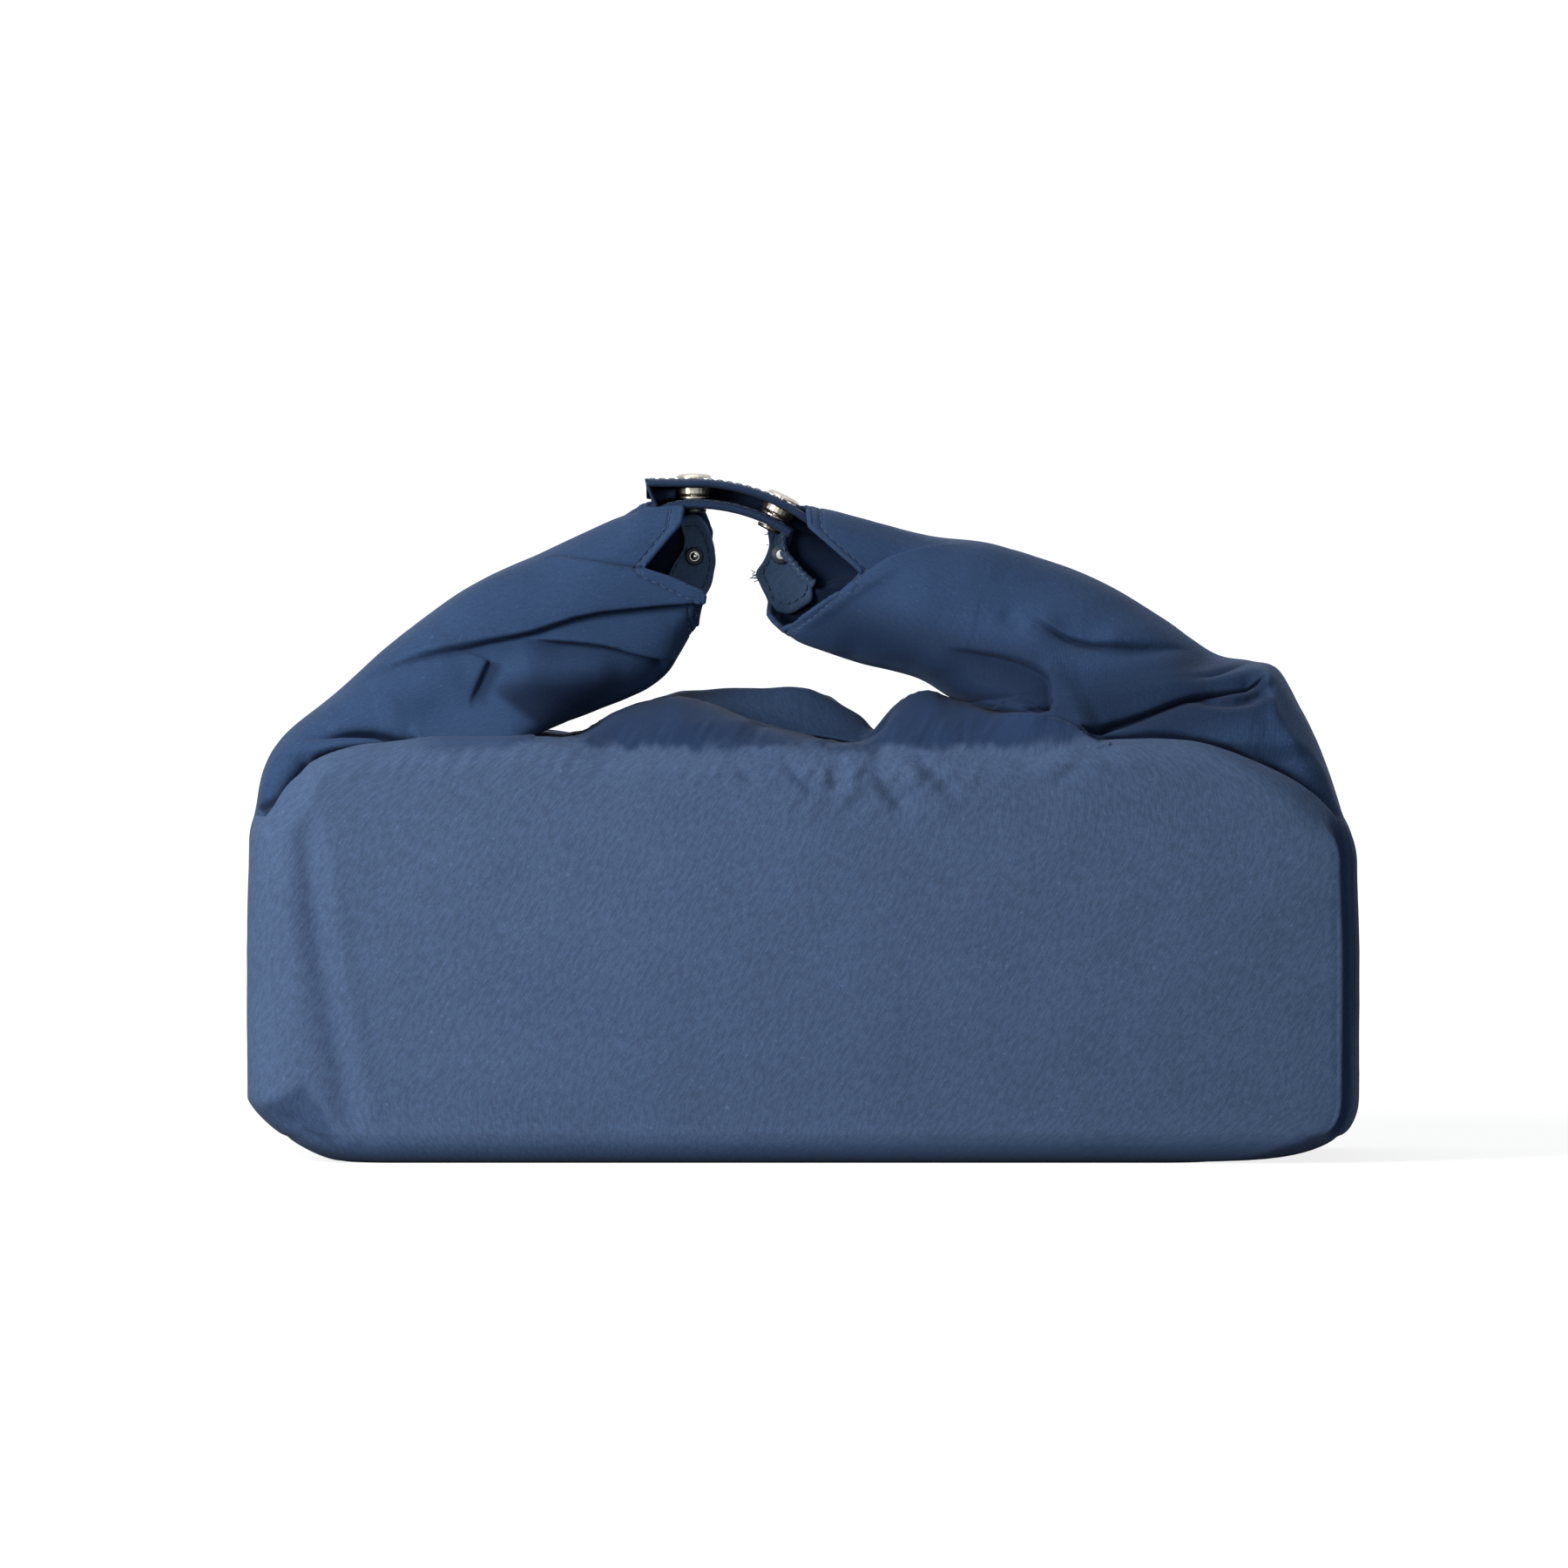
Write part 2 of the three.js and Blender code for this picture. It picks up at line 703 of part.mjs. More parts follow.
function hemSolid(outline, snap) {
  const plate = plateSolid(raised(outline), hemSetIn, hemSetIn + hemThickness);
  const radius = postRadius + postHoleClearance;
  const hole = new THREE.CylinderGeometry(radius, radius, holeLength, snapSegments);
  hole.translate(snap.x, hemSetIn, boxHeight + snap.rise);
  return plate.subtract(solidOf(hole));
}

function hemSnapPlace({ x, rise }) {
  const place = new THREE.Group();
  place.position.set(x, hemSetIn + hemThickness, boxHeight + rise);
  place.rotation.x = Math.PI / 2;
  return place;
}

// The bag

const bag = new THREE.Group();
bag.add(...boxPieces());
bag.add(mesh("front_lip", lipSolid(frontSwells, -1), material.cloth));
bag.add(mesh("back_lip", lipSolid(backSwells, 1), material.cloth));
bag.add(mesh("left_horn", leftHorn(), material.cloth));
bag.add(mesh("right_horn", rightHorn(), material.cloth));
bag.add(mesh("lower_snap_tab", tabSolid(lowerTabOutline()), material.hem));
bag.add(mesh("upper_snap_tab", tabSolid(upperTabOutline()), material.hem));
bag.add(mesh("left_mouth_hem", hemSolid(leftHemOutline, leftHemSnapAt), material.hem));
bag.add(mesh("right_mouth_hem", hemSolid(rightHemOutline, rightHemSnapAt), material.hem));
bag.add(joinedSnap("a", snapAngles[0]), joinedSnap("b", snapAngles[1]));

const leftSnap = hemSnapPlace(leftHemSnapAt);
leftSnap.add(mesh("left_hem_stud", studSolid(hemSnap, hemThickness), material.metal));
leftSnap.add(mesh("left_hem_post", postSolid(hemSnap, 0, hemThickness), material.metal));
const rightSnap = hemSnapPlace(rightHemSnapAt);
rightSnap.add(mesh("right_hem_cap", capSolid(hemSnap, 0, hemThickness), material.metal));
rightSnap.add(mesh("right_hem_socket", socketSolid(hemSnap, 0), material.metal));
bag.add(leftSnap, rightSnap);

export default bag;
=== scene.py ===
"""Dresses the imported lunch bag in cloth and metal. Shapes are worked out in millimetres and
written in metres, in the CAD frame: +X right, +Y back, +Z up, front of the bag towards -Y."""

import math

import bmesh
import bpy
import numpy as np
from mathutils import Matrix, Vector


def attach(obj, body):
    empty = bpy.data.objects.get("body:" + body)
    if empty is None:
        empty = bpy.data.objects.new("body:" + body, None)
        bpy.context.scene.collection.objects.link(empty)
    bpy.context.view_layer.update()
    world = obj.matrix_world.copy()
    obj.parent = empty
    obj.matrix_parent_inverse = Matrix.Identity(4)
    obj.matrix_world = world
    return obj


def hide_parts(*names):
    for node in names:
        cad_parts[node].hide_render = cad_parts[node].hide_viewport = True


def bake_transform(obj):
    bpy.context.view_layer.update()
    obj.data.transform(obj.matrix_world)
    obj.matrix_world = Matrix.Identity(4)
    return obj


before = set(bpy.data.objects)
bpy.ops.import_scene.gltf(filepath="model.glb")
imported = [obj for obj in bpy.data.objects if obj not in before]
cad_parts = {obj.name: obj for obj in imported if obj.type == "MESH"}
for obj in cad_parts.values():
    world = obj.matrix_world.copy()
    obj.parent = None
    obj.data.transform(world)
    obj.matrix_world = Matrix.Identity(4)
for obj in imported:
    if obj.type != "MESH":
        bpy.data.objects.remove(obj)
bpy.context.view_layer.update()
MM = 0.001

# Sizes shared with the CAD source: a toe is how far an end wall is drawn in at the bottom, how
# high up and how sharply, and a shoulder the first two at the top
BAG_LENGTH, BAG_DEPTH, BOX_HEIGHT = 319.0, 120.0, 118.75
PLAN_CORNER, BOTTOM_EDGE, TOP_ROLL, FACE_CROWN = 15.0, 8.0, 9.0, 1.5
LEFT_TOE = (25.5, 18.5, 1.35)
RIGHT_TOE = (40.0, 20.0, 2.6)
LEFT_SHOULDER = (31.0, 27.0)
RIGHT_SHOULDER = (50.0, 33.0)
LEFT_HINGE = (-157.6, 100.0)
RIGHT_HINGE = (155.4, 98.0)
BAY_HALF = 50.6
LIP_LEFT, LIP_RIGHT = -80.0, 75.0
TAB_CROWN = (-31.5, 189.8)
TAB_ARCH, TAB_ROOT_ARCH = 52.0, 27.0
TAB_WIDTH, TAB_SPACING = 24.0, 3.6
LOWER_TAB_THICK, UPPER_TAB_THICK = 2.6, 2.2
HEM_SET_IN, HEM_THICK = 16.1, 2.2

# Sizes of the cloth alone
ROLLED_EDGE, CONTACT_WIDTH = 1.8, 1.1
BODY_CLOTH_THICK, HORN_CLOTH_THICK, LINING_THICK, FOAM_THICK = 0.9, 1.1, 0.5, 1.4
# a distance past every piece
FAR = 200

# The picture's own units: the column over the bag's middle, the row of the floor, and one pixel
PICTURE_MIDDLE, PICTURE_FLOOR, PICTURE_UNIT = 922, 1330, 0.25


# Maths helpers
def smooth(edge0, edge1, value):
    share = np.clip((value - edge0) / (edge1 - edge0), 0, 1)
    return share * share * (3 - 2 * share)


def lattice(ix, iy, iz, seed):
    """A value between -1 and 1 that looks random, the same each time for the same whole numbers."""
    h = ix * 374761393 + iy * 668265263 + iz * 1274126177 + seed * 974634777
    h = (h ^ (h >> 13)) * 1103515245
    h = h ^ (h >> 16)
    return (h & 0xFFFF) / 32767.5 - 1.0


def noise(p, size, seed=0):
    """Smooth value noise between -1 and 1 at points p (..., 3), with cells of the given size."""
    q = np.asarray(p, float) / np.asarray(size, float)
    base = np.floor(q).astype(np.int64)
    f = q - base
    f = f * f * (3 - 2 * f)
    total = 0
    for dx in (0, 1):
        for dy in (0, 1):
            for dz in (0, 1):
                weight = (
                    (f[..., 0] if dx else 1 - f[..., 0])
                    * (f[..., 1] if dy else 1 - f[..., 1])
                    * (f[..., 2] if dz else 1 - f[..., 2])
                )
                cell = lattice(base[..., 0] + dx, base[..., 1] + dy, base[..., 2] + dz, seed)
                total = total + weight * cell
    return total


def slanted_noise(P, degrees, length, width, seed):
    """Noise in streaks that run at an angle in the front view."""
    c, s = math.cos(math.radians(degrees)), math.sin(math.radians(degrees))
    x, z = P[..., 0], P[..., 2]
    turned = np.stack([x * c + z * s, P[..., 1], z * c - x * s], -1)
    return noise(turned, (length, 3 * length, width), seed)


def cubic_rows(table, count):
    """Catmull-Rom through the rows of a table, resampled to count + 1 rows."""
    table = np.asarray(table, float)
    t = np.linspace(0, len(table) - 1, count + 1)
    i = np.clip(np.floor(t).astype(int), 0, len(table) - 2)
    f = (t - i)[:, None]
    p1, p2 = table[i], table[i + 1]
    p0 = np.where((i > 0)[:, None], table[np.maximum(i - 1, 0)], 2 * p1 - p2)
    last = np.minimum(i + 2, len(table) - 1)
    p3 = np.where((i + 2 < len(table))[:, None], table[last], 2 * p2 - p1)
    return 0.5 * (
        2 * p1
        + (p2 - p0) * f
        + (2 * p0 - 5 * p1 + 4 * p2 - p3) * f**2
        + (3 * p1 - p0 - 3 * p2 + p3) * f**3
    )


def smooth_table(x, table):
    """A smooth curve through the (x, value) pairs of a table."""
    table = np.asarray(table, float)
    fine = np.linspace(table[0, 0], table[-1, 0], 500)
    values = np.interp(fine, table[:, 0], table[:, 1])
    kernel = np.hanning(15)
    padded = np.concatenate([np.full(7, values[0]), values, np.full(7, values[-1])])
    return np.interp(x, fine, np.convolve(padded, kernel / kernel.sum(), "valid"))


def grid_normals(P, closed):
    """Unit normals of a grid of points, which may be closed in its second direction."""
    if closed:
        across = np.roll(P, -1, 1) - np.roll(P, 1, 1)
    else:
        across = np.gradient(P, axis=1)
    along = np.gradient(P, axis=0)
    n = np.cross(across, along)
    return n / np.maximum(np.linalg.norm(n, axis=2, keepdims=True), 1e-9)


def path_lengths(points):
    """The length of a path up to each of its points."""
    return np.concatenate([[0], np.cumsum(np.linalg.norm(np.diff(points, axis=0), axis=1))])


def spread(points, count):
    """Points along a path at count even steps."""
    lengths = path_lengths(points)
    at = np.linspace(0, lengths[-1], count + 1)
    return np.stack([np.interp(at, lengths, points[:, k]) for k in range(points.shape[1])], 1)


def px(*points):
    """Points of the front view, in the picture's own units, as (x, z) in millimetres."""
    return [((a - PICTURE_MIDDLE) * PICTURE_UNIT, (PICTURE_FLOOR - b) * PICTURE_UNIT) for a, b in points]


def line_field(x, z, line):
    """Signed distance to a line of (x, z) points, above it positive when it runs to the right,
    the share of the way along it, and the direction across it."""
    line = cubic_rows(line, 2 * (len(line) - 1))
    lengths = np.linalg.norm(np.diff(line, axis=0), axis=1)
    starts = np.concatenate([[0], np.cumsum(lengths)])
    best = np.full(x.shape, 1e9)
    sign = np.ones(x.shape)
    share = np.zeros(x.shape)
    across = np.zeros(x.shape + (2,))
    for k, length in enumerate(lengths):
        a, d = line[k], (line[k + 1] - line[k]) / length
        dx, dz = x - a[0], z - a[1]
        t = np.clip(dx * d[0] + dz * d[1], 0, length)
        dx, dz = dx - d[0] * t, dz - d[1] * t
        dist = dx * dx + dz * dz
        closer = dist < best
        best[closer] = dist[closer]
        sign[closer] = np.where(d[0] * dz[closer] < d[1] * dx[closer], -1.0, 1.0)
        share[closer] = (starts[k] + t[closer]) / starts[-1]
        across[closer] = (-d[1], d[0])
    return np.sqrt(best) * sign, share, across


class Folds:
    """Adds up folds drawn as lines in the front view: heights along the surface's normal, and
    moves in the plane of that view that let one side hang over the other."""

    def __init__(self, P):
        self.x, self.z = P[..., 0], P[..., 2]
        # where the folds count, and where their painted shade does
        self.side = 1.0
        self.half = 1.0
        self.height = np.zeros(P.shape[:2])
        self.tone = np.zeros(P.shape[:2])
        self.move = np.zeros(P.shape)

    def near(self, line, ends):
        """Signed distance to a line, the direction across it, and how it fades at both ends."""
        d, share, across = line_field(self.x, self.z, line)
        return d, across, smooth(0, ends[0], share) * smooth(0, ends[1], 1 - share)

    def lap(self, line, over, over_width, under, under_width, hang, edge, ends):
        """The cloth on one side of the line lies over the cloth on the other side, with a rolled
        edge: that above the line when it is drawn to the right, that below it when to the left."""
        d, across, fade = self.near(line, ends)
        taper = self.side * fade
        above, below = np.maximum(d, 0), np.minimum(d, 0)
        upper = over * (1.25 * np.exp(-above / over_width) - 0.6 * np.exp(-above / ROLLED_EDGE))
        lower = -under * np.exp(below / under_width)
        k = 0.5 + 0.5 * np.tanh(d / edge)
        self.height += taper * (k * upper + (1 - k) * lower)
        # painted shade: a narrow dark band on the cloth just under the rolled edge
        contact_shade = np.exp(-((below / CONTACT_WIDTH) ** 2)) * smooth(0.5, -0.1, d)
        self.tone = np.maximum(self.tone, 0.6 * taper * contact_shade)
        shift = -hang * taper * k * np.exp(-((above / (2.2 * hang)) ** 2))
        self.move[..., 0] += shift * across[..., 0]
        self.move[..., 2] += shift * across[..., 1]

    def ridge(self, line, height, width, ends=(0.25, 0.25)):
        """A soft ridge along the line, or with a negative height a soft valley."""
        d, _, fade = self.near(line, ends)
        self.height += self.side * fade * height * np.exp(-((d / width) ** 2))

    def tuck(self, line, depth, upper_width, lower_width, ends):
        """Cloth drawn in along a line, falling to it over one width above and another below."""
        d, _, fade = self.near(line, ends)
        fall = np.exp(-np.maximum(d, 0) / upper_width - np.maximum(-d, 0) / lower_width)
        self.height -= self.side * fade * depth * fall

    def shade(self, line, amount, near, far, ends):
        """Paints shade on the cloth on the left of the line, as seen along it."""
        d, _, fade = self.near(line, ends)
        dark = amount * self.half * fade * smooth(-near, near, d) * smooth(far, 0.4 * far, d)
        self.tone = np.maximum(self.tone, dark)

    def crevice(self, line, depth, width, ends):
        """A narrow deep gap, with shade painted dark inside it."""
        d, _, fade = self.near(line, ends)
        dip = fade * np.exp(-((d / width) ** 2))
        self.height -= depth * dip * self.side
        self.tone = np.maximum(self.tone, smooth(0.2, 0.6, dip) * self.half)


# Mesh helpers
def set_tone(made, *values):
    """Stores a tone of painted shade for each vertex, from 0 to 1, that a material may read."""
    tones = np.concatenate([part.ravel() for part in values]).astype(np.float32)
    made.data.attributes.new("tone", "FLOAT", "POINT").data.foreach_set("value", tones)


def new_mesh(name, vertices, faces, uvs, material):
    """A smooth mesh from millimetres; its UVs go by vertex or by the corners of its faces."""
    mesh = bpy.data.meshes.new(name)
    mesh.from_pydata((np.asarray(vertices) * MM).tolist(), [], faces)
    layer = mesh.uv_layers.new(name="UVMap")
    if len(uvs) == len(vertices):
        loops = np.empty(len(mesh.loops), dtype=np.int64)
        mesh.loops.foreach_get("vertex_index", loops)
        uvs = np.asarray(uvs)[loops]
    layer.data.foreach_set("uv", (np.asarray(uvs) * MM).astype(np.float32).ravel())
    mesh.polygons.foreach_set("use_smooth", [True] * len(mesh.polygons))
    mesh.materials.append(material)
    mesh.update()
    made = bpy.data.objects.new(name, mesh)
    bpy.context.collection.objects.link(made)
    return made


def face_out(made):
    bm = bmesh.new()
    bm.from_mesh(made.data)
    bmesh.ops.recalc_face_normals(bm, faces=bm.faces)
    bm.to_mesh(made.data)
    bm.free()
    return made


def grid_faces(rows, columns, closed):
    """Faces of a grid of points, with the row and the column of each."""
    i, j = np.meshgrid(np.arange(rows - 1), np.arange(columns if closed else columns - 1), indexing="ij")
    k = (j + 1) % columns
    quads = np.stack([i * columns + j, i * columns + k, (i + 1) * columns + k, (i + 1) * columns + j], -1)
    return quads.reshape(-1, 4).tolist(), i.ravel(), j.ravel()


def grid_uvs(P, closed, i, j):
    """Lengths of cloth along both ways of a grid at each face's corners, for the weave."""
    loop = np.concatenate([P, P[:, :1]], 1) if closed else P
    across = np.linalg.norm(np.diff(loop, axis=1), axis=2).mean(0)
    along = np.linalg.norm(np.diff(loop, axis=0), axis=2).mean(1)
    u = np.concatenate([[0], np.cumsum(across)])
    v = np.concatenate([[0], np.cumsum(along)])
    corner_u = np.stack([u[j], u[j + 1], u[j + 1], u[j]], -1)
    corner_v = np.stack([v[i], v[i], v[i + 1], v[i + 1]], -1)
    return np.stack([corner_u, corner_v], -1)


def cloth_grid(name, P, thickness, closed, material, flip=False):
    """Cloth of a given thickness under the grid P (rows, columns, 3), with its edges shut."""
    rows, columns, _ = P.shape
    normals = grid_normals(P, closed) * (-1 if flip else 1)
    inner = P - normals * thickness
    vertices = np.concatenate([P.reshape(-1, 3), inner.reshape(-1, 3)])
    count = rows * columns
    outer_faces, i, j = grid_faces(rows, columns, closed)
    inner_faces = [[a + count for a in face[::-1]] for face in outer_faces]
    faces = outer_faces + inner_faces
    uv = grid_uvs(P, closed, i, j)
    uvs = [uv.reshape(-1, 2), uv[:, ::-1].reshape(-1, 2)]

    def rim(ring, around):
        pairs = list(zip(ring, ring[1:] + ring[:1])) if around else list(zip(ring, ring[1:]))
        for a, b in pairs:
            faces.append([b, a, a + count, b + count])
            at, to = a % columns, b % columns
            uvs.append(np.array([[to, 0], [at, 0], [at, 1], [to, 1]], float))

    rim(list(range(columns)), closed)
    rim(list(range((rows - 1) * columns, rows * columns))[::-1], closed)
    if not closed:
        rim(list(range(0, count, columns))[::-1], False)
        rim(list(range(columns - 1, count, columns)), False)
    return face_out(new_mesh(name, vertices, faces, np.concatenate(uvs), material))


def closed_rings(name, P, material, uvs=None):
    """A solid skin over closed rings, shut by its first and last ring."""
    rows, columns, _ = P.shape
    faces, i, j = grid_faces(rows, columns, True)
    uv = grid_uvs(P, True, i, j).reshape(-1, 2)
    vertices = P.reshape(-1, 3)
    faces.append(list(range(columns))[::-1])
    faces.append([(rows - 1) * columns + k for k in range(columns)])
    if uvs is None:
        uvs = np.concatenate([uv, vertices[:columns][::-1, :2], vertices[-columns:, :2]])
    return face_out(new_mesh(name, vertices, faces, uvs, material))


def tube_parts(path, radius, sides=8, closed=False):
    """Vertices and faces of a round strand along a path."""
    path = np.asarray(path, float)
    if closed:
        tangent = np.roll(path, -1, 0) - np.roll(path, 1, 0)
    else:
        tangent = np.gradient(path, axis=0)
    tangent /= np.maximum(np.linalg.norm(tangent, axis=1, keepdims=True), 1e-9)
    side = np.cross(tangent, [0.31, 0.17, 0.93])
    side /= np.maximum(np.linalg.norm(side, axis=1, keepdims=True), 1e-9)
    up = np.cross(side, tangent)
    angles = np.linspace(0, 2 * np.pi, sides, endpoint=False)
    radii = np.broadcast_to(np.asarray(radius, float), (len(path),))
    ring = side[:, None] * np.cos(angles)[None, :, None] + up[:, None] * np.sin(angles)[None, :, None]
    vertices = (path[:, None] + ring * radii[:, None, None]).reshape(-1, 3)
    rows = len(path)
    faces, _, _ = grid_faces(rows, sides, True)
    if closed:
        shift = (rows - 1) * sides
        faces += [[shift + j, shift + (j + 1) % sides, (j + 1) % sides, j] for j in range(sides)]
    else:
        faces.append(list(range(sides))[::-1])
        faces.append([(rows - 1) * sides + j for j in range(sides)])
    return vertices, faces


def strands(name, paths, radius, material, sides=6, closed=False):
    """Many round strands as one piece."""
    vertices, faces, count = [], [], 0
    for path in paths:
        v, f = tube_parts(path, radius, sides, closed)
        vertices.append(v)
        faces += [[index + count for index in face] for face in f]
        count += len(v)
    k = np.arange(count)
    uvs = np.stack([k // sides * 0.8, k % sides * 0.6], 1)
    return new_mesh(name, np.concatenate(vertices), faces, uvs, material)


def resample(path, step):
    """Points along a path, at least three, at even steps of about the given length."""
    path = np.asarray(path, float)
    return spread(path, max(int(path_lengths(path)[-1] / step), 2))


def stitch_paths(path, lift, stitch=2.2, gap=0.7, rise=0.22):
    """Short arched stitches along a path, raised along the lift direction."""
    step, sunk = 0.2, 0.2
    fine = resample(path, step)
    per, total = int(stitch / step), int((stitch + gap) / step)
    lift = np.asarray(lift, float)
    if lift.ndim == 1:
        lift = np.broadcast_to(lift, (len(fine), 3))
    else:
        lift = lift[np.linspace(0, len(lift) - 1, len(fine)).round().astype(int)]
    paths = []
    for start in range(0, len(fine) - per, total):
        piece = fine[start : start + per + 1][::2]
        bow = np.sin(np.linspace(0, np.pi, len(piece)))[:, None] ** 0.5
        paths.append(piece + lift[start : start + per + 1][::2] * (bow * (rise + sunk) - sunk))
    return paths


def cut_boxes(made, boxes):
    """Cuts the mesh along the sides of each box and takes away what lies inside it."""
    bm = bmesh.new()
    bm.from_mesh(made.data)
    margin = 0.004
    for low, high in boxes:
        low, high = Vector(low) * MM, Vector(high) * MM
        for axis in range(3):
            for value in (low[axis], high[axis]):
                near = []
                for f in bm.faces:
                    c = f.calc_center_median()
                    if abs(c[axis] - value) < margin and all(
                        low[k] - margin < c[k] < high[k] + margin for k in range(3)
                    ):
                        near.append(f)
                if not near:
                    continue
                parts = near + list({e for f in near for e in f.edges})
                parts += list({v for f in near for v in f.verts})
                normal, point = Vector((0, 0, 0)), Vector((0, 0, 0))
                normal[axis] = 1
                point[axis] = value
                bmesh.ops.bisect_plane(bm, geom=parts, plane_co=point, plane_no=normal, dist=1e-7)
        inside = []
        for f in bm.faces:
            c = f.calc_center_median()
            if all(low[k] < c[k] < high[k] for k in range(3)):
                inside.append(f)
        bmesh.ops.delete(bm, geom=inside, context="FACES")
    bm.to_mesh(made.data)
    bm.free()


def thicken(made, thickness):
    """Gives an open sheet its thickness, inwards."""
    solid = made.modifiers.new("thickness", "SOLIDIFY")
    solid.thickness = thickness * MM
    solid.offset = -1
    bpy.context.view_layer.update()
    evaluated = made.evaluated_get(bpy.context.evaluated_depsgraph_get())
    mesh = bpy.data.meshes.new_from_object(evaluated)
    made.modifiers.clear()
    old, made.data = made.data, mesh
    bpy.data.meshes.remove(old)


def put(piece, body_name, slot, *replaced):
    """Fastens a piece to its body and hides the solids that it stands for; its slot is not used."""
    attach(piece, body_name)
    if replaced:
        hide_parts(*replaced)


def put_between(piece, first, second, start, end, slot, replaced):
    """For a piece that lies between two bodies: bakes its place into its mesh and hides the solid that it
    stands for.
    """
    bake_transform(piece)
    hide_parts(replaced)


def join(objects, name):
    bpy.ops.object.select_all(action="DESELECT")
    for o in objects:
        o.select_set(True)
    bpy.context.view_layer.objects.active = objects[0]
    bpy.ops.object.join()
    objects[0].name = name
    return objects[0]


# Materials
def new_material(name, color, roughness, metallic=0.0):
    made = bpy.data.materials.new(name)
    made.use_nodes = True
    shader = made.node_tree.nodes["Principled BSDF"]
    shader.inputs["Base Color"].default_value = (*color, 1)
    shader.inputs["Roughness"].default_value = roughness
    shader.inputs["Metallic"].default_value = metallic
    return made, made.node_tree, shader


def mix(tree, factor, low, high):
    made = tree.nodes.new("ShaderNodeMix")
    made.data_type = "RGBA"
    tree.links.new(factor, made.inputs[0])
    for socket, value in ((6, low), (7, high)):
        if isinstance(value, tuple):
            made.inputs[socket].default_value = (*value, 1)
        else:
            tree.links.new(value, made.inputs[socket])
    return made.outputs[2]


def ramp(tree, value, low, high, to_low=0.0, to_high=1.0):
    made = tree.nodes.new("ShaderNodeMapRange")
    made.inputs["From Min"].default_value = low
    made.inputs["From Max"].default_value = high
    made.inputs["To Min"].default_value = to_low
    made.inputs["To Max"].default_value = to_high
    tree.links.new(value, made.inputs["Value"])
    return made.outputs["Result"]


def mapped(tree, source, scale, turn=0.0):
    """Coordinates in millimetres, turned about Z and then stretched."""
    coords = tree.nodes.new("ShaderNodeTexCoord")
    turned = tree.nodes.new("ShaderNodeMapping")
    turned.inputs["Scale"].default_value = (1000, 1000, 1000)
    turned.inputs["Rotation"].default_value = (0, 0, math.radians(turn))
    tree.links.new(coords.outputs[source], turned.inputs["Vector"])
    stretched = tree.nodes.new("ShaderNodeMapping")
    stretched.inputs["Scale"].default_value = scale
    tree.links.new(turned.outputs[0], stretched.inputs["Vector"])
    return stretched.outputs[0]


def grain(tree, vector, scale, detail):
    made = tree.nodes.new("ShaderNodeTexNoise")
    made.inputs["Scale"].default_value = scale
    made.inputs["Detail"].default_value = detail
    tree.links.new(vector, made.inputs["Vector"])
    return made.outputs["Fac"]


def relief(tree, shader, height, strength, distance):
    made = tree.nodes.new("ShaderNodeBump")
    made.inputs["Strength"].default_value = strength
    made.inputs["Distance"].default_value = distance
    tree.links.new(height, made.inputs["Height"])
    tree.links.new(made.outputs["Normal"], shader.inputs["Normal"])


def calculate(tree, operation, *values):
    """A maths node fed by plain numbers and by other nodes' outputs."""
    made = tree.nodes.new("ShaderNodeMath")
    made.operation = operation
    for socket, value in zip(made.inputs, values):
        if isinstance(value, float):
            socket.default_value = value
        else:
            tree.links.new(value, socket)
    return made.outputs[0]


def shade(color, factor):
    return tuple(min(c * factor, 1.0) for c in color)


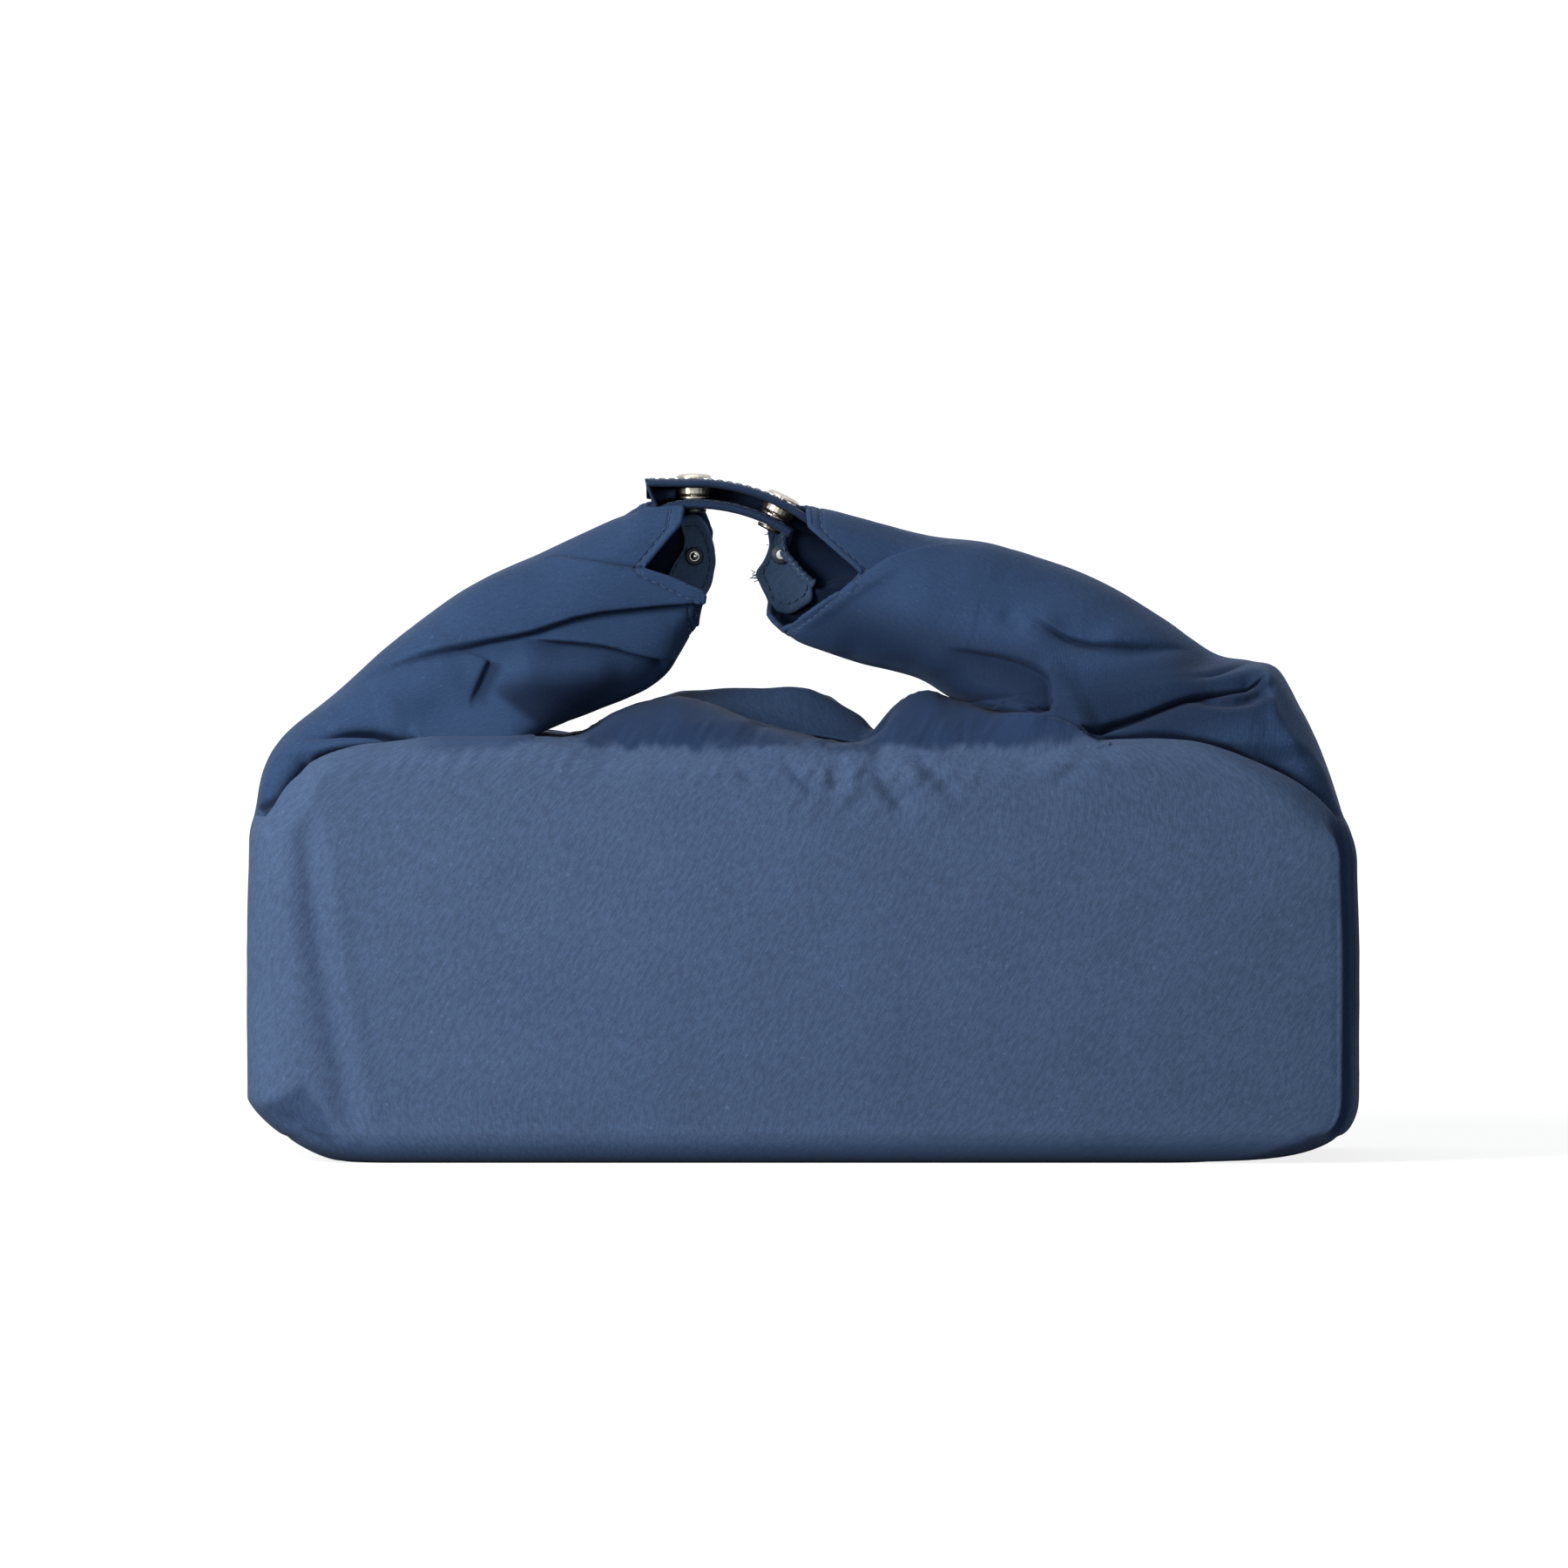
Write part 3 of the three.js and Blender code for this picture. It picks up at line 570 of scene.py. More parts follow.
def twill(name, color, slant=62.0, streaks=1.0, dark=None):
    """Woven cloth: slanted twill lines, streaks of yarn along them, flecks and soft mottling.
    With a dark colour, shade is painted: the cloth turns to it where its vertices' tone is 1."""
    made, tree, shader = new_material(name, color, 0.8)
    shader.inputs["Sheen Weight"].default_value = 0.05
    shader.inputs["Sheen Roughness"].default_value = 0.5
    shader.inputs["Sheen Tint"].default_value = (0.6, 0.7, 0.9, 1)
    shader.inputs["Specular IOR Level"].default_value = 0.2
    streak = grain(tree, mapped(tree, "UV", (0.34, 0.95, 1), -slant), 1.0, 2)
    yarn = grain(tree, mapped(tree, "UV", (1, 1, 1)), 1.5, 2)
    fleck = grain(tree, mapped(tree, "UV", (1, 1, 1), 20), 0.62, 1)
    mottle = grain(tree, mapped(tree, "Object", (1, 1, 1)), 0.05, 3)
    ribs = tree.nodes.new("ShaderNodeTexWave")
    ribs.wave_type = "BANDS"
    ribs.bands_direction = "Y"
    ribs.inputs["Scale"].default_value = 0.36
    ribs.inputs["Distortion"].default_value = 1.2
    ribs.inputs["Detail"].default_value = 2
    tree.links.new(mapped(tree, "UV", (1, 1, 1), -slant), ribs.inputs["Vector"])
    tone = mix(tree, ramp(tree, mottle, 0.3, 0.7), shade(color, 0.93), shade(color, 1.07))
    tone = mix(tree, ramp(tree, streak, 0.42, 0.75, 0.0, 0.42 * streaks), tone, shade(color, 1.6))
    tone = mix(tree, ramp(tree, streak, 0.5, 0.28, 0.0, 0.3 * streaks), tone, shade(color, 0.6))
    tone = mix(tree, ramp(tree, yarn, 0.4, 0.75, 0.0, 0.28), tone, shade(color, 0.5))
    tone = mix(tree, ramp(tree, fleck, 0.66, 0.82, 0.0, 0.4), tone, shade(color, 2.2))
    # painted shade: the cloth turns to the dark colour by the tone stored on its vertices
    if dark:
        stored = tree.nodes.new("ShaderNodeAttribute")
        stored.attribute_name = "tone"
        deep = mix(tree, ramp(tree, streak, 0.3, 0.7), shade(dark, 0.9), shade(dark, 1.15))
        tone = mix(tree, stored.outputs["Fac"], tone, shade(dark, 1.0))
        tone = mix(tree, ramp(tree, stored.outputs["Fac"], 0.0, 1.0, 0.0, 0.5), tone, deep)
    tree.links.new(tone, shader.inputs["Base Color"])
    tree.links.new(ramp(tree, yarn, 0.3, 0.7, 0.72, 0.9), shader.inputs["Roughness"])
    height = calculate(tree, "MULTIPLY_ADD", yarn, 0.8, streak)
    height = calculate(tree, "MULTIPLY_ADD", ribs.outputs["Fac"], 0.35, height)
    relief(tree, shader, height, 0.35, 0.00015)
    return made


def metal(name, color, roughness):
    made, tree, shader = new_material(name, color, roughness, 1.0)
    worn = grain(tree, mapped(tree, "Object", (1, 1, 1)), 0.9, 4)
    dull = ramp(tree, worn, 0.3, 0.7, roughness - 0.08, roughness + 0.14)
    tone = mix(tree, ramp(tree, worn, 0.3, 0.7), shade(color, 0.7), color)
    tree.links.new(dull, shader.inputs["Roughness"])
    tree.links.new(tone, shader.inputs["Base Color"])
    relief(tree, shader, worn, 0.25, 0.00006)
    return made


def dot_metal(name, middle, radius, inner, outer):
    """Metal with a painted highlight: bright within a radius of an axis along Y, and dark round it."""
    made, tree, shader = new_material(name, inner, 0.3, 1.0)
    coords = tree.nodes.new("ShaderNodeTexCoord")
    flat = tree.nodes.new("ShaderNodeVectorMath")
    flat.operation = "MULTIPLY"
    flat.inputs[1].default_value = (1, 0, 1)
    tree.links.new(coords.outputs["Object"], flat.inputs[0])
    away = tree.nodes.new("ShaderNodeVectorMath")
    away.operation = "DISTANCE"
    away.inputs[1].default_value = (middle[0] * MM, 0, middle[1] * MM)
    tree.links.new(flat.outputs[0], away.inputs[0])
    ring = ramp(tree, away.outputs["Value"], (radius - 0.1) * MM, (radius + 0.1) * MM)
    tree.links.new(mix(tree, ring, inner, outer), shader.inputs["Base Color"])
    tree.links.new(ramp(tree, ring, 0, 1, 0.25, 0.5), shader.inputs["Roughness"])
    tree.links.new(ramp(tree, ring, 0, 1, 1.0, 0.2), shader.inputs["Metallic"])
    return made


def speckled(name, color, roughness, scale, distance):
    """A simple surface with fine relief: foam, board, thread or coated lining."""
    made, tree, shader = new_material(name, color, roughness)
    fine = grain(tree, mapped(tree, "Object", (1, 1, 1)), scale, 5)
    tone = mix(tree, ramp(tree, fine, 0.3, 0.7), shade(color, 0.82), color)
    tree.links.new(tone, shader.inputs["Base Color"])
    relief(tree, shader, fine, 0.35, distance)
    return made


# the last colour of these two cloths is their painted shade
CLOTH = twill("navy_twill", (0.064, 0.107, 0.202), 62, 1.0, (0.014, 0.036, 0.095))
HORN_CLOTH = twill("navy_twill_horn", (0.028, 0.062, 0.143), 55, 0.5, (0.003, 0.010, 0.034))
# a lighter copy of the hem cloth: painted light on the left hem plate, which lies in shade deep in its mouth
LEFT_HEM_PAINTED_LIGHT_CLOTH = twill("navy_twill_left_hem_painted_light", (0.130, 0.220, 0.400), 50, 0.5)
HEM_CLOTH = twill("navy_twill_hem", (0.050, 0.092, 0.175), 50, 0.5)
# a darker copy of the cloth: painted shade on the tabs
TAB_PAINTED_SHADE_CLOTH = twill("navy_twill_tab_painted_shade", (0.014, 0.031, 0.078), 50, 0.5)
THREAD = speckled("navy_thread", (0.045, 0.080, 0.150), 0.6, 3.0, 0.00005)
DARK_THREAD = speckled("dark_thread", (0.018, 0.036, 0.078), 0.6, 3.0, 0.00005)
PALE_THREAD = speckled("pale_thread", (0.200, 0.240, 0.320), 0.6, 3.0, 0.00005)
LINING = speckled("grey_blue_lining", (0.13, 0.16, 0.22), 0.45, 0.24, 0.0004)
FOAM = speckled("white_foam", (0.75, 0.75, 0.72), 0.9, 0.9, 0.0003)
BOARD = speckled("base_board", (0.05, 0.055, 0.06), 0.6, 0.5, 0.0002)
SNAP = metal("snap_nickel", (0.60, 0.54, 0.45), 0.34)
DARK_SNAP = metal("snap_dark", (0.20, 0.18, 0.16), 0.38)
# painted highlight: a bright dot on each hem snap
STUD = dot_metal("stud_painted_highlight", (-31.4, 173.0), 1.35, (0.85, 0.83, 0.78), (0.012, 0.02, 0.04))
CAP = dot_metal("cap_painted_highlight", (-6.5, 173.5), 1.25, (0.75, 0.72, 0.7), (0.05, 0.06, 0.09))


# The box of the bag
def corner_draw(share, power=2.0):
    share = np.clip(share, 0, 1)
    return 1 - (1 - (1 - share) ** power) ** (1 / power)


def wall(z, toe, shoulder):
    """How far an end wall is drawn in at a height."""
    run, rise, power = toe
    drawn = np.where(z < rise, run * corner_draw(z / rise, power), 0)
    run, rise = shoulder
    left = (BOX_HEIGHT - z) / rise
    return float(drawn + np.where(left < 1, run * corner_draw(left), 0))


def half_depth(z):
    low = np.where(z < BOTTOM_EDGE, BOTTOM_EDGE * corner_draw(z / BOTTOM_EDGE), 0)
    left = (BOX_HEIGHT - z) / TOP_ROLL
    high = np.where(left < 1, TOP_ROLL * corner_draw(left), 0)
    return float(BAG_DEPTH / 2 - FACE_CROWN - low - high)


# plan of a right-hand corner, from the end of the long face: a sharp edge, a groove behind it
# and the gusset that bulges out past it
SHARP_CORNER = [
    (-15, 0), (-8, 0.1), (-5.6, 0.5), (-5.1, 1.2), (-5.3, 2.2),
    (-6.4, 4.4), (-5.6, 6.2), (-3.2, 8.2), (-1.1, 11), (0, 15),
]


def box_ring(z, sharp=True, per_mm=0.7):
    """One level ring of the box, counterclockwise from above."""
    left = -BAG_LENGTH / 2 + wall(z, LEFT_TOE, LEFT_SHOULDER)
    right = BAG_LENGTH / 2 - wall(z, RIGHT_TOE, RIGHT_SHOULDER)
    half = half_depth(z)
    r = PLAN_CORNER
    amount = float(smooth(3, 12, z) * smooth(100, 90, z)) if sharp else 0.0

    def arc(x, y, start, n):
        a = np.radians(start + np.linspace(0, 90, n + 1))[:-1]
        return np.stack([x + r * np.cos(a), y + r * np.sin(a)], 1)

    def straight(a, b, n):
        t = np.linspace(0, 1, n + 1)[:-1, None]
        return np.array(a)[None] * (1 - t) + np.array(b)[None] * t

    def edged(side):
        """A right-hand corner, round or sharp by the amount, in front (-1) or behind (1)."""
        n = 44
        shape = spread(np.array(SHARP_CORNER), n)
        shape = np.stack([right + shape[:, 0], side * (half - shape[:, 1])], 1)
        a = np.radians(np.linspace(0, 90, n + 1))
        plain = np.stack([right - r + r * np.sin(a), side * (half - r + r * np.cos(a))], 1)
        ring = plain * (1 - amount) + shape * amount
        return ring[:-1] if side < 0 else ring[::-1][:-1]

    long_count, short_count = int(290 * per_mm), int(90 * per_mm)
    ring = np.concatenate(
        [
            straight((left + r, -half), (right - r, -half), long_count),
            edged(-1),
            straight((right, -half + r), (right, half - r), short_count),
            edged(1),
            straight((right - r, half), (left + r, half), long_count),
            arc(left + r, half - r, 90, 22),
            straight((left, half - r), (left, -half + r), short_count),
            arc(left + r, -half + r, 180, 22),
        ]
    )
    crown = FACE_CROWN * math.sin(math.pi * z / BOX_HEIGHT)
    across = np.maximum(np.cos(np.pi * ring[:, 0] / BAG_LENGTH), 0)
    y = ring[:, 1] + crown * across * ring[:, 1] / max(half, 1)
    return np.stack([ring[:, 0], y, np.full(len(ring), float(z))], 1)


ROLL_START = BOX_HEIGHT - TOP_ROLL
HEIGHTS = np.concatenate(
    [
        BOTTOM_EDGE - BOTTOM_EDGE * np.cos(np.linspace(0, np.pi / 2, 13))[:-1],
        np.linspace(BOTTOM_EDGE, 26, 24)[:-1],
        np.linspace(26, 92, 70)[:-1],
        np.linspace(92, ROLL_START, 34)[:-1],
        ROLL_START + TOP_ROLL * np.sin(np.linspace(0, np.pi / 2, 20)),
    ]
)


def edge_lift(x, z):
    """How much higher the top edge of the long walls stands beside the mouth."""
    left = 2.1 * (smooth(-146, -122, x) + smooth(-124, -104, x)) * smooth(-50, -76, x)
    right = 3.4 * smooth(60, 80, x) * smooth(140, 108, x)
    return (left + right) * smooth(96, 118, z)


# the crease round the facet at the lower left corner
FACET = [(-163, 13.5), (-144.0, 24), (-141, 23), (-126, -4)]
# the puckers where the cloth turns in over the mouth: line, height, width and how the ends fade
PUCKERS = [
    ([(21.5, 119), (22, 113), (25, 107), (33, 99)], -2.0, 2.6, (0.02, 0.35)),
    ([(27, 118), (32, 111), (39, 104), (46, 99)], 1.1, 2.2, (0.1, 0.35)),
    ([(33, 118), (38, 112), (45, 106)], -1.0, 1.6, (0.1, 0.3)),
    ([(14, 118), (13.5, 112), (17, 105)], 0.9, 2.2, (0.1, 0.3)),
    ([(-6, 118), (-2, 112), (5, 106)], -1.2, 1.8, (0.1, 0.3)),
    ([(2, 118), (6, 112), (8, 107)], 0.7, 1.5, (0.1, 0.3)),
    ([(12, 118), (8, 112), (11, 106)], -1.0, 1.4, (0.1, 0.3)),
    ([(-20, 117), (-16, 111), (-11, 107)], -0.7, 1.4, (0.2, 0.3)),
    ([(-60, 115), (-30, 113), (-10, 114)], 0.5, 1.8),
    ([(84, 117), (78, 111), (70, 107)], -0.6, 1.4),
    ([(66, 115), (76, 112.5), (90, 113)], 0.5, 1.2),
]


def body_relief(P, N):
    """How far the cloth of the box stands out from, or sinks under, its plain shape."""
    x, y, z = P[..., 0], P[..., 1], P[..., 2]
    front = smooth(0.1, 0.7, -N[..., 1])
    back = smooth(0.1, 0.7, N[..., 1])
    ends = smooth(0.3, 0.8, np.abs(N[..., 0]))
    mid = smooth(2, 12, z)
    folds = Folds(P)
    h = 0.35 * mid * noise(P, (70, 70, 45), 3) + 0.28 * mid * noise(P, (26, 26, 20), 5) - 0.3
    h = h + 0.07 * mid * noise(P, (5, 5, 5), 9)
    # lower seam all round
    h = h - 0.35 * np.exp(-(((z - 6.8) / 0.7) ** 2)) + 0.15 * np.exp(-(((z - 9.0) / 1.8) ** 2))
    h = h + 0.8 * ends * mid * smooth(85, 60, z)
    for side in (front, back):
        folds.side = side
        seam = px((353, 905), (354, 960), (364, 1060), (382, 1172), (397, 1250), (412, 1306))
        folds.ridge(seam, -1.3, 3.2, (0.15, 0.15))
        folds.ridge([(p + 6.5, q) for p, q in seam], 0.7, 3.0, (0.3, 0.1))
        folds.ridge([(p - 7.5, q) for p, q in seam], 0.5, 4.0, (0.2, 0.3))
        folds.ridge(px((359, 1242), (385, 1276), (412, 1312)), 0.7, 1.0, (0.1, 0.1))
        # the lower left corner is pressed flat, as a facet between two soft creases
        corner = line_field(x, z, FACET)[0]
        pressed = np.clip(-corner - 0.5, 0, 9) * smooth(27, 21, z) * smooth(-122, -128, x)
        h = h - side**3 * 0.22 * pressed
        for pucker in PUCKERS:
            folds.ridge(*pucker)
    folds.height *= 1 - 0.6 * smooth(112.5, 116.5, z)
    band = smooth(106, 112, z) * smooth(117.2, 114.5, z) * (front + back)
    right_side = smooth(52, 64, x)
    slanted = slanted_noise(P, 58, 7, 1.5, 11) * (1 - right_side)
    slanted = slanted + slanted_noise(P, -20, 7, 1.4, 12) * right_side
    h = h + 0.42 * band * slanted * smooth(128, 110, x)
    cluster = np.exp(-(((x - 18) / 26) ** 2)) * smooth(92, 104, z) * smooth(117, 113, z)
    crossed = 0.6 * slanted_noise(P, 52, 9, 2.2, 17) + 0.5 * slanted_noise(P, -48, 9, 2.0, 19)
    h = h + (front + back) * cluster * crossed
    # soft upright folds on the end walls
    wave = np.sin(y / 8.5 + 0.6 * np.sin(z / 21)) * np.exp(-(((y - 3) / 22) ** 2))
    h = h + ends * mid * 0.7 * wave * smooth(10, 90, z) * smooth(54, 40, np.abs(y))
    h = h + folds.height
    return h


def top_edge_painted_shade(P, seed):
    """The cloth is painted darker and greyer, as shade, where it is drawn over the top edge."""
    x = P[..., 0]
    z = P[..., 2] - 0.6 * edge_lift(x, BOX_HEIGHT) + 3.4 * smooth(-74, -92, x)
    uneven = 1.6 * noise(P, (5, 9, 9), seed) + 0.8 * noise(P, (2, 4, 4), seed + 1)
    left = 0.55 * smooth(-118, -100, x) + 0.45 * smooth(-90, -74, x)
    return smooth(117.8, 121.3, z + uneven) * left * smooth(90, 74, x)


def box_painted_shade(P):
    """Painted shade in the narrow space behind the sharp right-hand corners, on the pressed facet at the
    lower left, along the bottom and along the top edge.
    """
    x, y, z = P[..., 0], P[..., 1], P[..., 2]
    deep = BAG_DEPTH / 2 - FACE_CROWN - np.abs(y)
    height = smooth(4, 12, z) * smooth(104, 94, z)
    groove = smooth(1.6, 2.6, deep) * smooth(10.5, 8.0, deep)
    shadow = 0.8 * smooth(1.6, 2.6, deep) * smooth(22, 12, deep) * smooth(20, 52, z)
    right = np.maximum(groove, shadow) * height * smooth(150, 152, x)
    # painted shade on the pressed facet and in a band along the bottom
    facet = 0.35 * smooth(0, -3, line_field(x, z, FACET)[0]) * smooth(-120, -128, x) * smooth(27, 20, z)
    low = np.maximum(facet, 0.3 * smooth(8.0, 5.5, z))
    return np.maximum(np.maximum(right, low), 0.7 * top_edge_painted_shade(P, 68))


def under_lips(P):
    """Where the cloth of the box keeps under the roots of the lips."""
    x, y, z = P[..., 0], P[..., 1], P[..., 2]
    right = np.where(y < 0, smooth(90, 86, x), smooth(79, 75, x))
    return smooth(115.2, 117.0, z) * smooth(-84, -80, x) * right


# the rings of a sheet's bottom, as shares of the lowest ring above it
FLOOR_SHARES = (0.02, 0.25, 0.5, 0.75, 0.93, 0.985)


def box_sheet(name, rings, material, relief_of=None):
    """A shell through level rings, closed at the bottom."""
    first = rings[0]
    centre = np.array([first[:, 0].mean(), 0, first[0, 2]])
    floor = [centre + (first - centre) * share for share in FLOOR_SHARES]
    P = np.stack(floor + rings)
    if relief_of is not None:
        N = grid_normals(P, True)
        N[: len(floor)] = (0, 0, -1)
        lift = edge_lift(P[..., 0], P[..., 2])
        P = P + N * (relief_of(P, N) - 0.3 * under_lips(P))[..., None]
        # the front and the back are drawn in a little at the left shoulder
        strip = smooth(44, 50, np.abs(P[..., 1])) * smooth(-136, -147, P[..., 0])
        P[..., 0] += 2.8 * strip * smooth(94, 104, P[..., 2]) * smooth(117, 111, P[..., 2])
        P[..., 2] = np.maximum(P[..., 2] + lift, 0.0)
        P[: len(floor), :, 2] = 0.0
    faces, i, j = grid_faces(P.shape[0], P.shape[1], True)
    uv = grid_uvs(P, True, i, j).reshape(-1, 2)
    vertices = P.reshape(-1, 3)
    faces.append(list(range(P.shape[1]))[::-1])
    uvs = np.concatenate([uv, vertices[: P.shape[1]][::-1, :2]])
    made = new_mesh(name, vertices, faces, uvs, material)
    if relief_of is not None:
        set_tone(made, box_painted_shade(P))
    return made


def inset_rings(heights, inset):
    """Rings of the box moved inwards on the level; the inset may change with the point."""
    rings = []
    for z in heights:
        ring = box_ring(z, sharp=False, per_mm=0.35)
        tangent = np.roll(ring, -1, 0) - np.roll(ring, 1, 0)
        normal = np.stack([tangent[:, 1], -tangent[:, 0], 0 * tangent[:, 0]], 1)
        normal /= np.maximum(np.linalg.norm(normal, axis=1, keepdims=True), 1e-9)
        rings.append(ring - normal * inset(ring)[:, None])
    return rings


def bays(wider, lower, shorter):
    """The spaces in both ends of the box that the horns fill, for a sheet inside the cloth."""
    half = BAY_HALF + wider
    return [
        ((-FAR, -half, LEFT_HINGE[1] - lower), (LIP_LEFT - shorter, half, FAR)),
        ((LIP_RIGHT + shorter, -half, RIGHT_HINGE[1] - lower), (FAR, half, FAR)),
    ]


body = box_sheet("body_cloth", [box_ring(z) for z in HEIGHTS], CLOTH, body_relief)
cut_boxes(body, bays(0, 0.4, 0))
thicken(body, BODY_CLOTH_THICK)
put(body, "bag", "cloth", "front_panel", "back_panel", "left_gusset", "right_gusset", "bottom_panel")


def lining_inset(ring):
    """The lining runs out to the cloth at its top edge, lower where the end walls are low."""
    x, y, z = ring.T
    in_bay = (np.abs(y) < BAY_HALF - 1) & ((x < LIP_LEFT) | (x > LIP_RIGHT))
    top = np.where(in_bay, np.where(x < 0, LEFT_HINGE[1], RIGHT_HINGE[1]) - 1.0, 112.0)
    corner = 3.5 * smooth(132, 142, x) * smooth(99, 93, z)
    toe = 2.5 * smooth(-112, -126, x) * smooth(36, 26, z)
    return 4.9 + corner + toe + 0.3 * noise(ring, (14, 14, 9), 31) - 1.8 * smooth(top - 5, top, z)


lining_heights = np.concatenate([[4.8], np.linspace(6, 92, 24), np.linspace(93, 112, 26)])
lining = box_sheet("lining_cloth", inset_rings(lining_heights, lining_inset), LINING)
cut_boxes(lining, bays(1, 0.8, 2))
thicken(lining, LINING_THICK)
put(lining, "bag", "lining", "lining")

padding_rings = inset_rings(np.linspace(12, 104, 24), lambda ring: np.full(len(ring), 3.0))
padding = box_sheet("wall_padding", padding_rings, FOAM)
# the padding keeps out of the drawn-in lower corners, the sharp corners and the floor
padding_ends = [
    ((-170, -70, -1), (-118, 70, 40)),
    ((130, -70, -1), (170, -36, 110)),
    ((130, 36, -1), (170, 70, 110)),
    ((-170, -70, -1), (170, 70, 12.5)),
]
cut_boxes(padding, bays(2, 6, 2) + padding_ends)
thicken(padding, FOAM_THICK)
put(padding, "bag", "foam", "front_foam", "back_foam", "left_foam", "right_foam")


# Horns
def horn_surface(ribs, rows, columns):
    """Squared rings through the ribs, squarer at the root and round the back of the mouth."""
    table = cubic_rows(ribs, rows)
    steps = (len(ribs) - 1) * np.linspace(0, 1, rows + 1)
    dense = np.linspace(0, 2 * np.pi, 721)
    grid = []
    for (low_x, low_z, high_x, high_z, half), step in zip(table, steps):
        near_mouth = min(step / 5, 1)
        front, back = 7.0 - 4.1 * near_mouth, 7.0 - 2.4 * near_mouth
        power = 2 / np.where(np.sin(dense) < 0, front, back)
        c = np.sign(np.cos(dense)) * np.abs(np.cos(dense)) ** power
        s = np.sign(np.sin(dense)) * np.abs(np.sin(dense)) ** power
        height = (1 + c) / 2
        x, z = low_x + (high_x - low_x) * height, low_z + (high_z - low_z) * height
        grid.append(spread(np.stack([x, half * s, z], 1), columns)[:-1])
    return np.stack(grid)


def point_in(x, z, polygon):
    """Whether each point lies inside a polygon of the front view."""
    inside = np.zeros(x.shape, bool)
    for (x1, z1), (x2, z2) in zip(polygon, polygon[1:] + polygon[:1]):
        crosses = (z1 > z) != (z2 > z)
        at = (x2 - x1) * (z - z1) / np.where(z2 == z1, 1e-9, z2 - z1) + x1
        inside ^= crosses & (x < at)
    return inside


def trim(P, removed, rows):
    """Ends each column where it first meets the removed space, and spreads its points evenly."""
    share = np.linspace(0, 1, len(P))
    ends = np.ones(P.shape[1])
    for j in range(P.shape[1]):
        hits = np.nonzero(removed[:, j])[0]
        if len(hits):
            ends[j] = share[hits[0]]
    kernel = np.array([1, 2, 3, 2, 1]) / 9
    ends = np.convolve(np.concatenate([ends[-2:], ends, ends[:2]]), kernel, "valid")
    t = np.linspace(0, 1, rows + 1)
    out = np.empty((rows + 1,) + P.shape[1:])
    for j in range(P.shape[1]):
        for k in range(P.shape[2]):
            out[:, j, k] = np.interp(t * ends[j], share, P[:, j, k])
    return out


# ribs of the horns: lowest x and z, highest x and z, half width
LEFT_RIBS = [
    (-82, 120.2, -158.2, 98.6, 50),
    (-78.5, 121.8, -155.4, 112, 48.5),
    (-75, 123.2, -149, 122.4, 45.5),
    (-71, 124.8, -135, 133.6, 41.5),
    (-67, 126.2, -121, 146.4, 37),
    (-62, 128, -107, 157.0, 33),
    (-56, 130.3, -92, 166.7, 29.5),
    (-50, 132.6, -77, 173.3, 26.5),
    (-44.5, 135.2, -63, 180.0, 24),
    (-39, 139.6, -52, 184.8, 21.8),
    (-35.5, 145, -42, 186.6, 20.2),
    (-31.5, 152, -32, 187.2, 19.6),
    (-30.3, 153.5, -25.4, 187.5, 19.2),
]
RIGHT_RIBS = [
    (80, 121.2, 156.4, 96.8, 50),
    (73, 124.8, 152.4, 109, 48.8),
    (66, 127.0, 148.2, 120, 46.5),
    (57.5, 128.6, 143.0, 130.2, 43.5),
    (50.5, 129.8, 136.8, 140.6, 40.5),
    (46, 131.2, 129.0, 142.9, 38.6),
    (41.5, 133.2, 118.2, 145.2, 36.5),
    (34, 137.6, 104, 155.2, 33),
    (25, 140.2, 88.5, 164.4, 30),
    (16, 142.4, 71, 172.0, 27),
    (8, 144.8, 54, 177.2, 24.5),
    (0, 148, 37, 179.2, 22),
    (-5.5, 151.2, 20, 183.6, 20.6),
    (-9.5, 155, 5.5, 187.0, 19.7),
    (-10.2, 156, -4.5, 187.8, 19.3),
]


def horn_folds(P, N, seed):
    """Soft unevenness all over a horn, ready for the folds of its front."""
    folds = Folds(P)
    folds.height += 0.4 * noise(P, (30, 24, 20), seed) + 0.2 * noise(P, (9, 9, 7), seed + 2)
    folds.side = smooth(0.0, 0.4, -N[..., 1])
    folds.half = smooth(-12, -24, P[..., 1])
    return folds


def back_laps(folds, N, large, upper, lower):
    """Three laps on the back of a horn, each given as its line and how its ends fade."""
    folds.side = smooth(0.0, 0.4, N[..., 1])
    folds.lap(large[0], 1.8, 8, 2.8, 6, 0.9, 0.6, large[1])
    folds.lap(upper[0], 1.2, 7, 1.8, 6, 0.6, 0.7, upper[1])
    folds.lap(lower[0], 1.2, 6, 2.6, 5, 0.8, 0.6, lower[1])


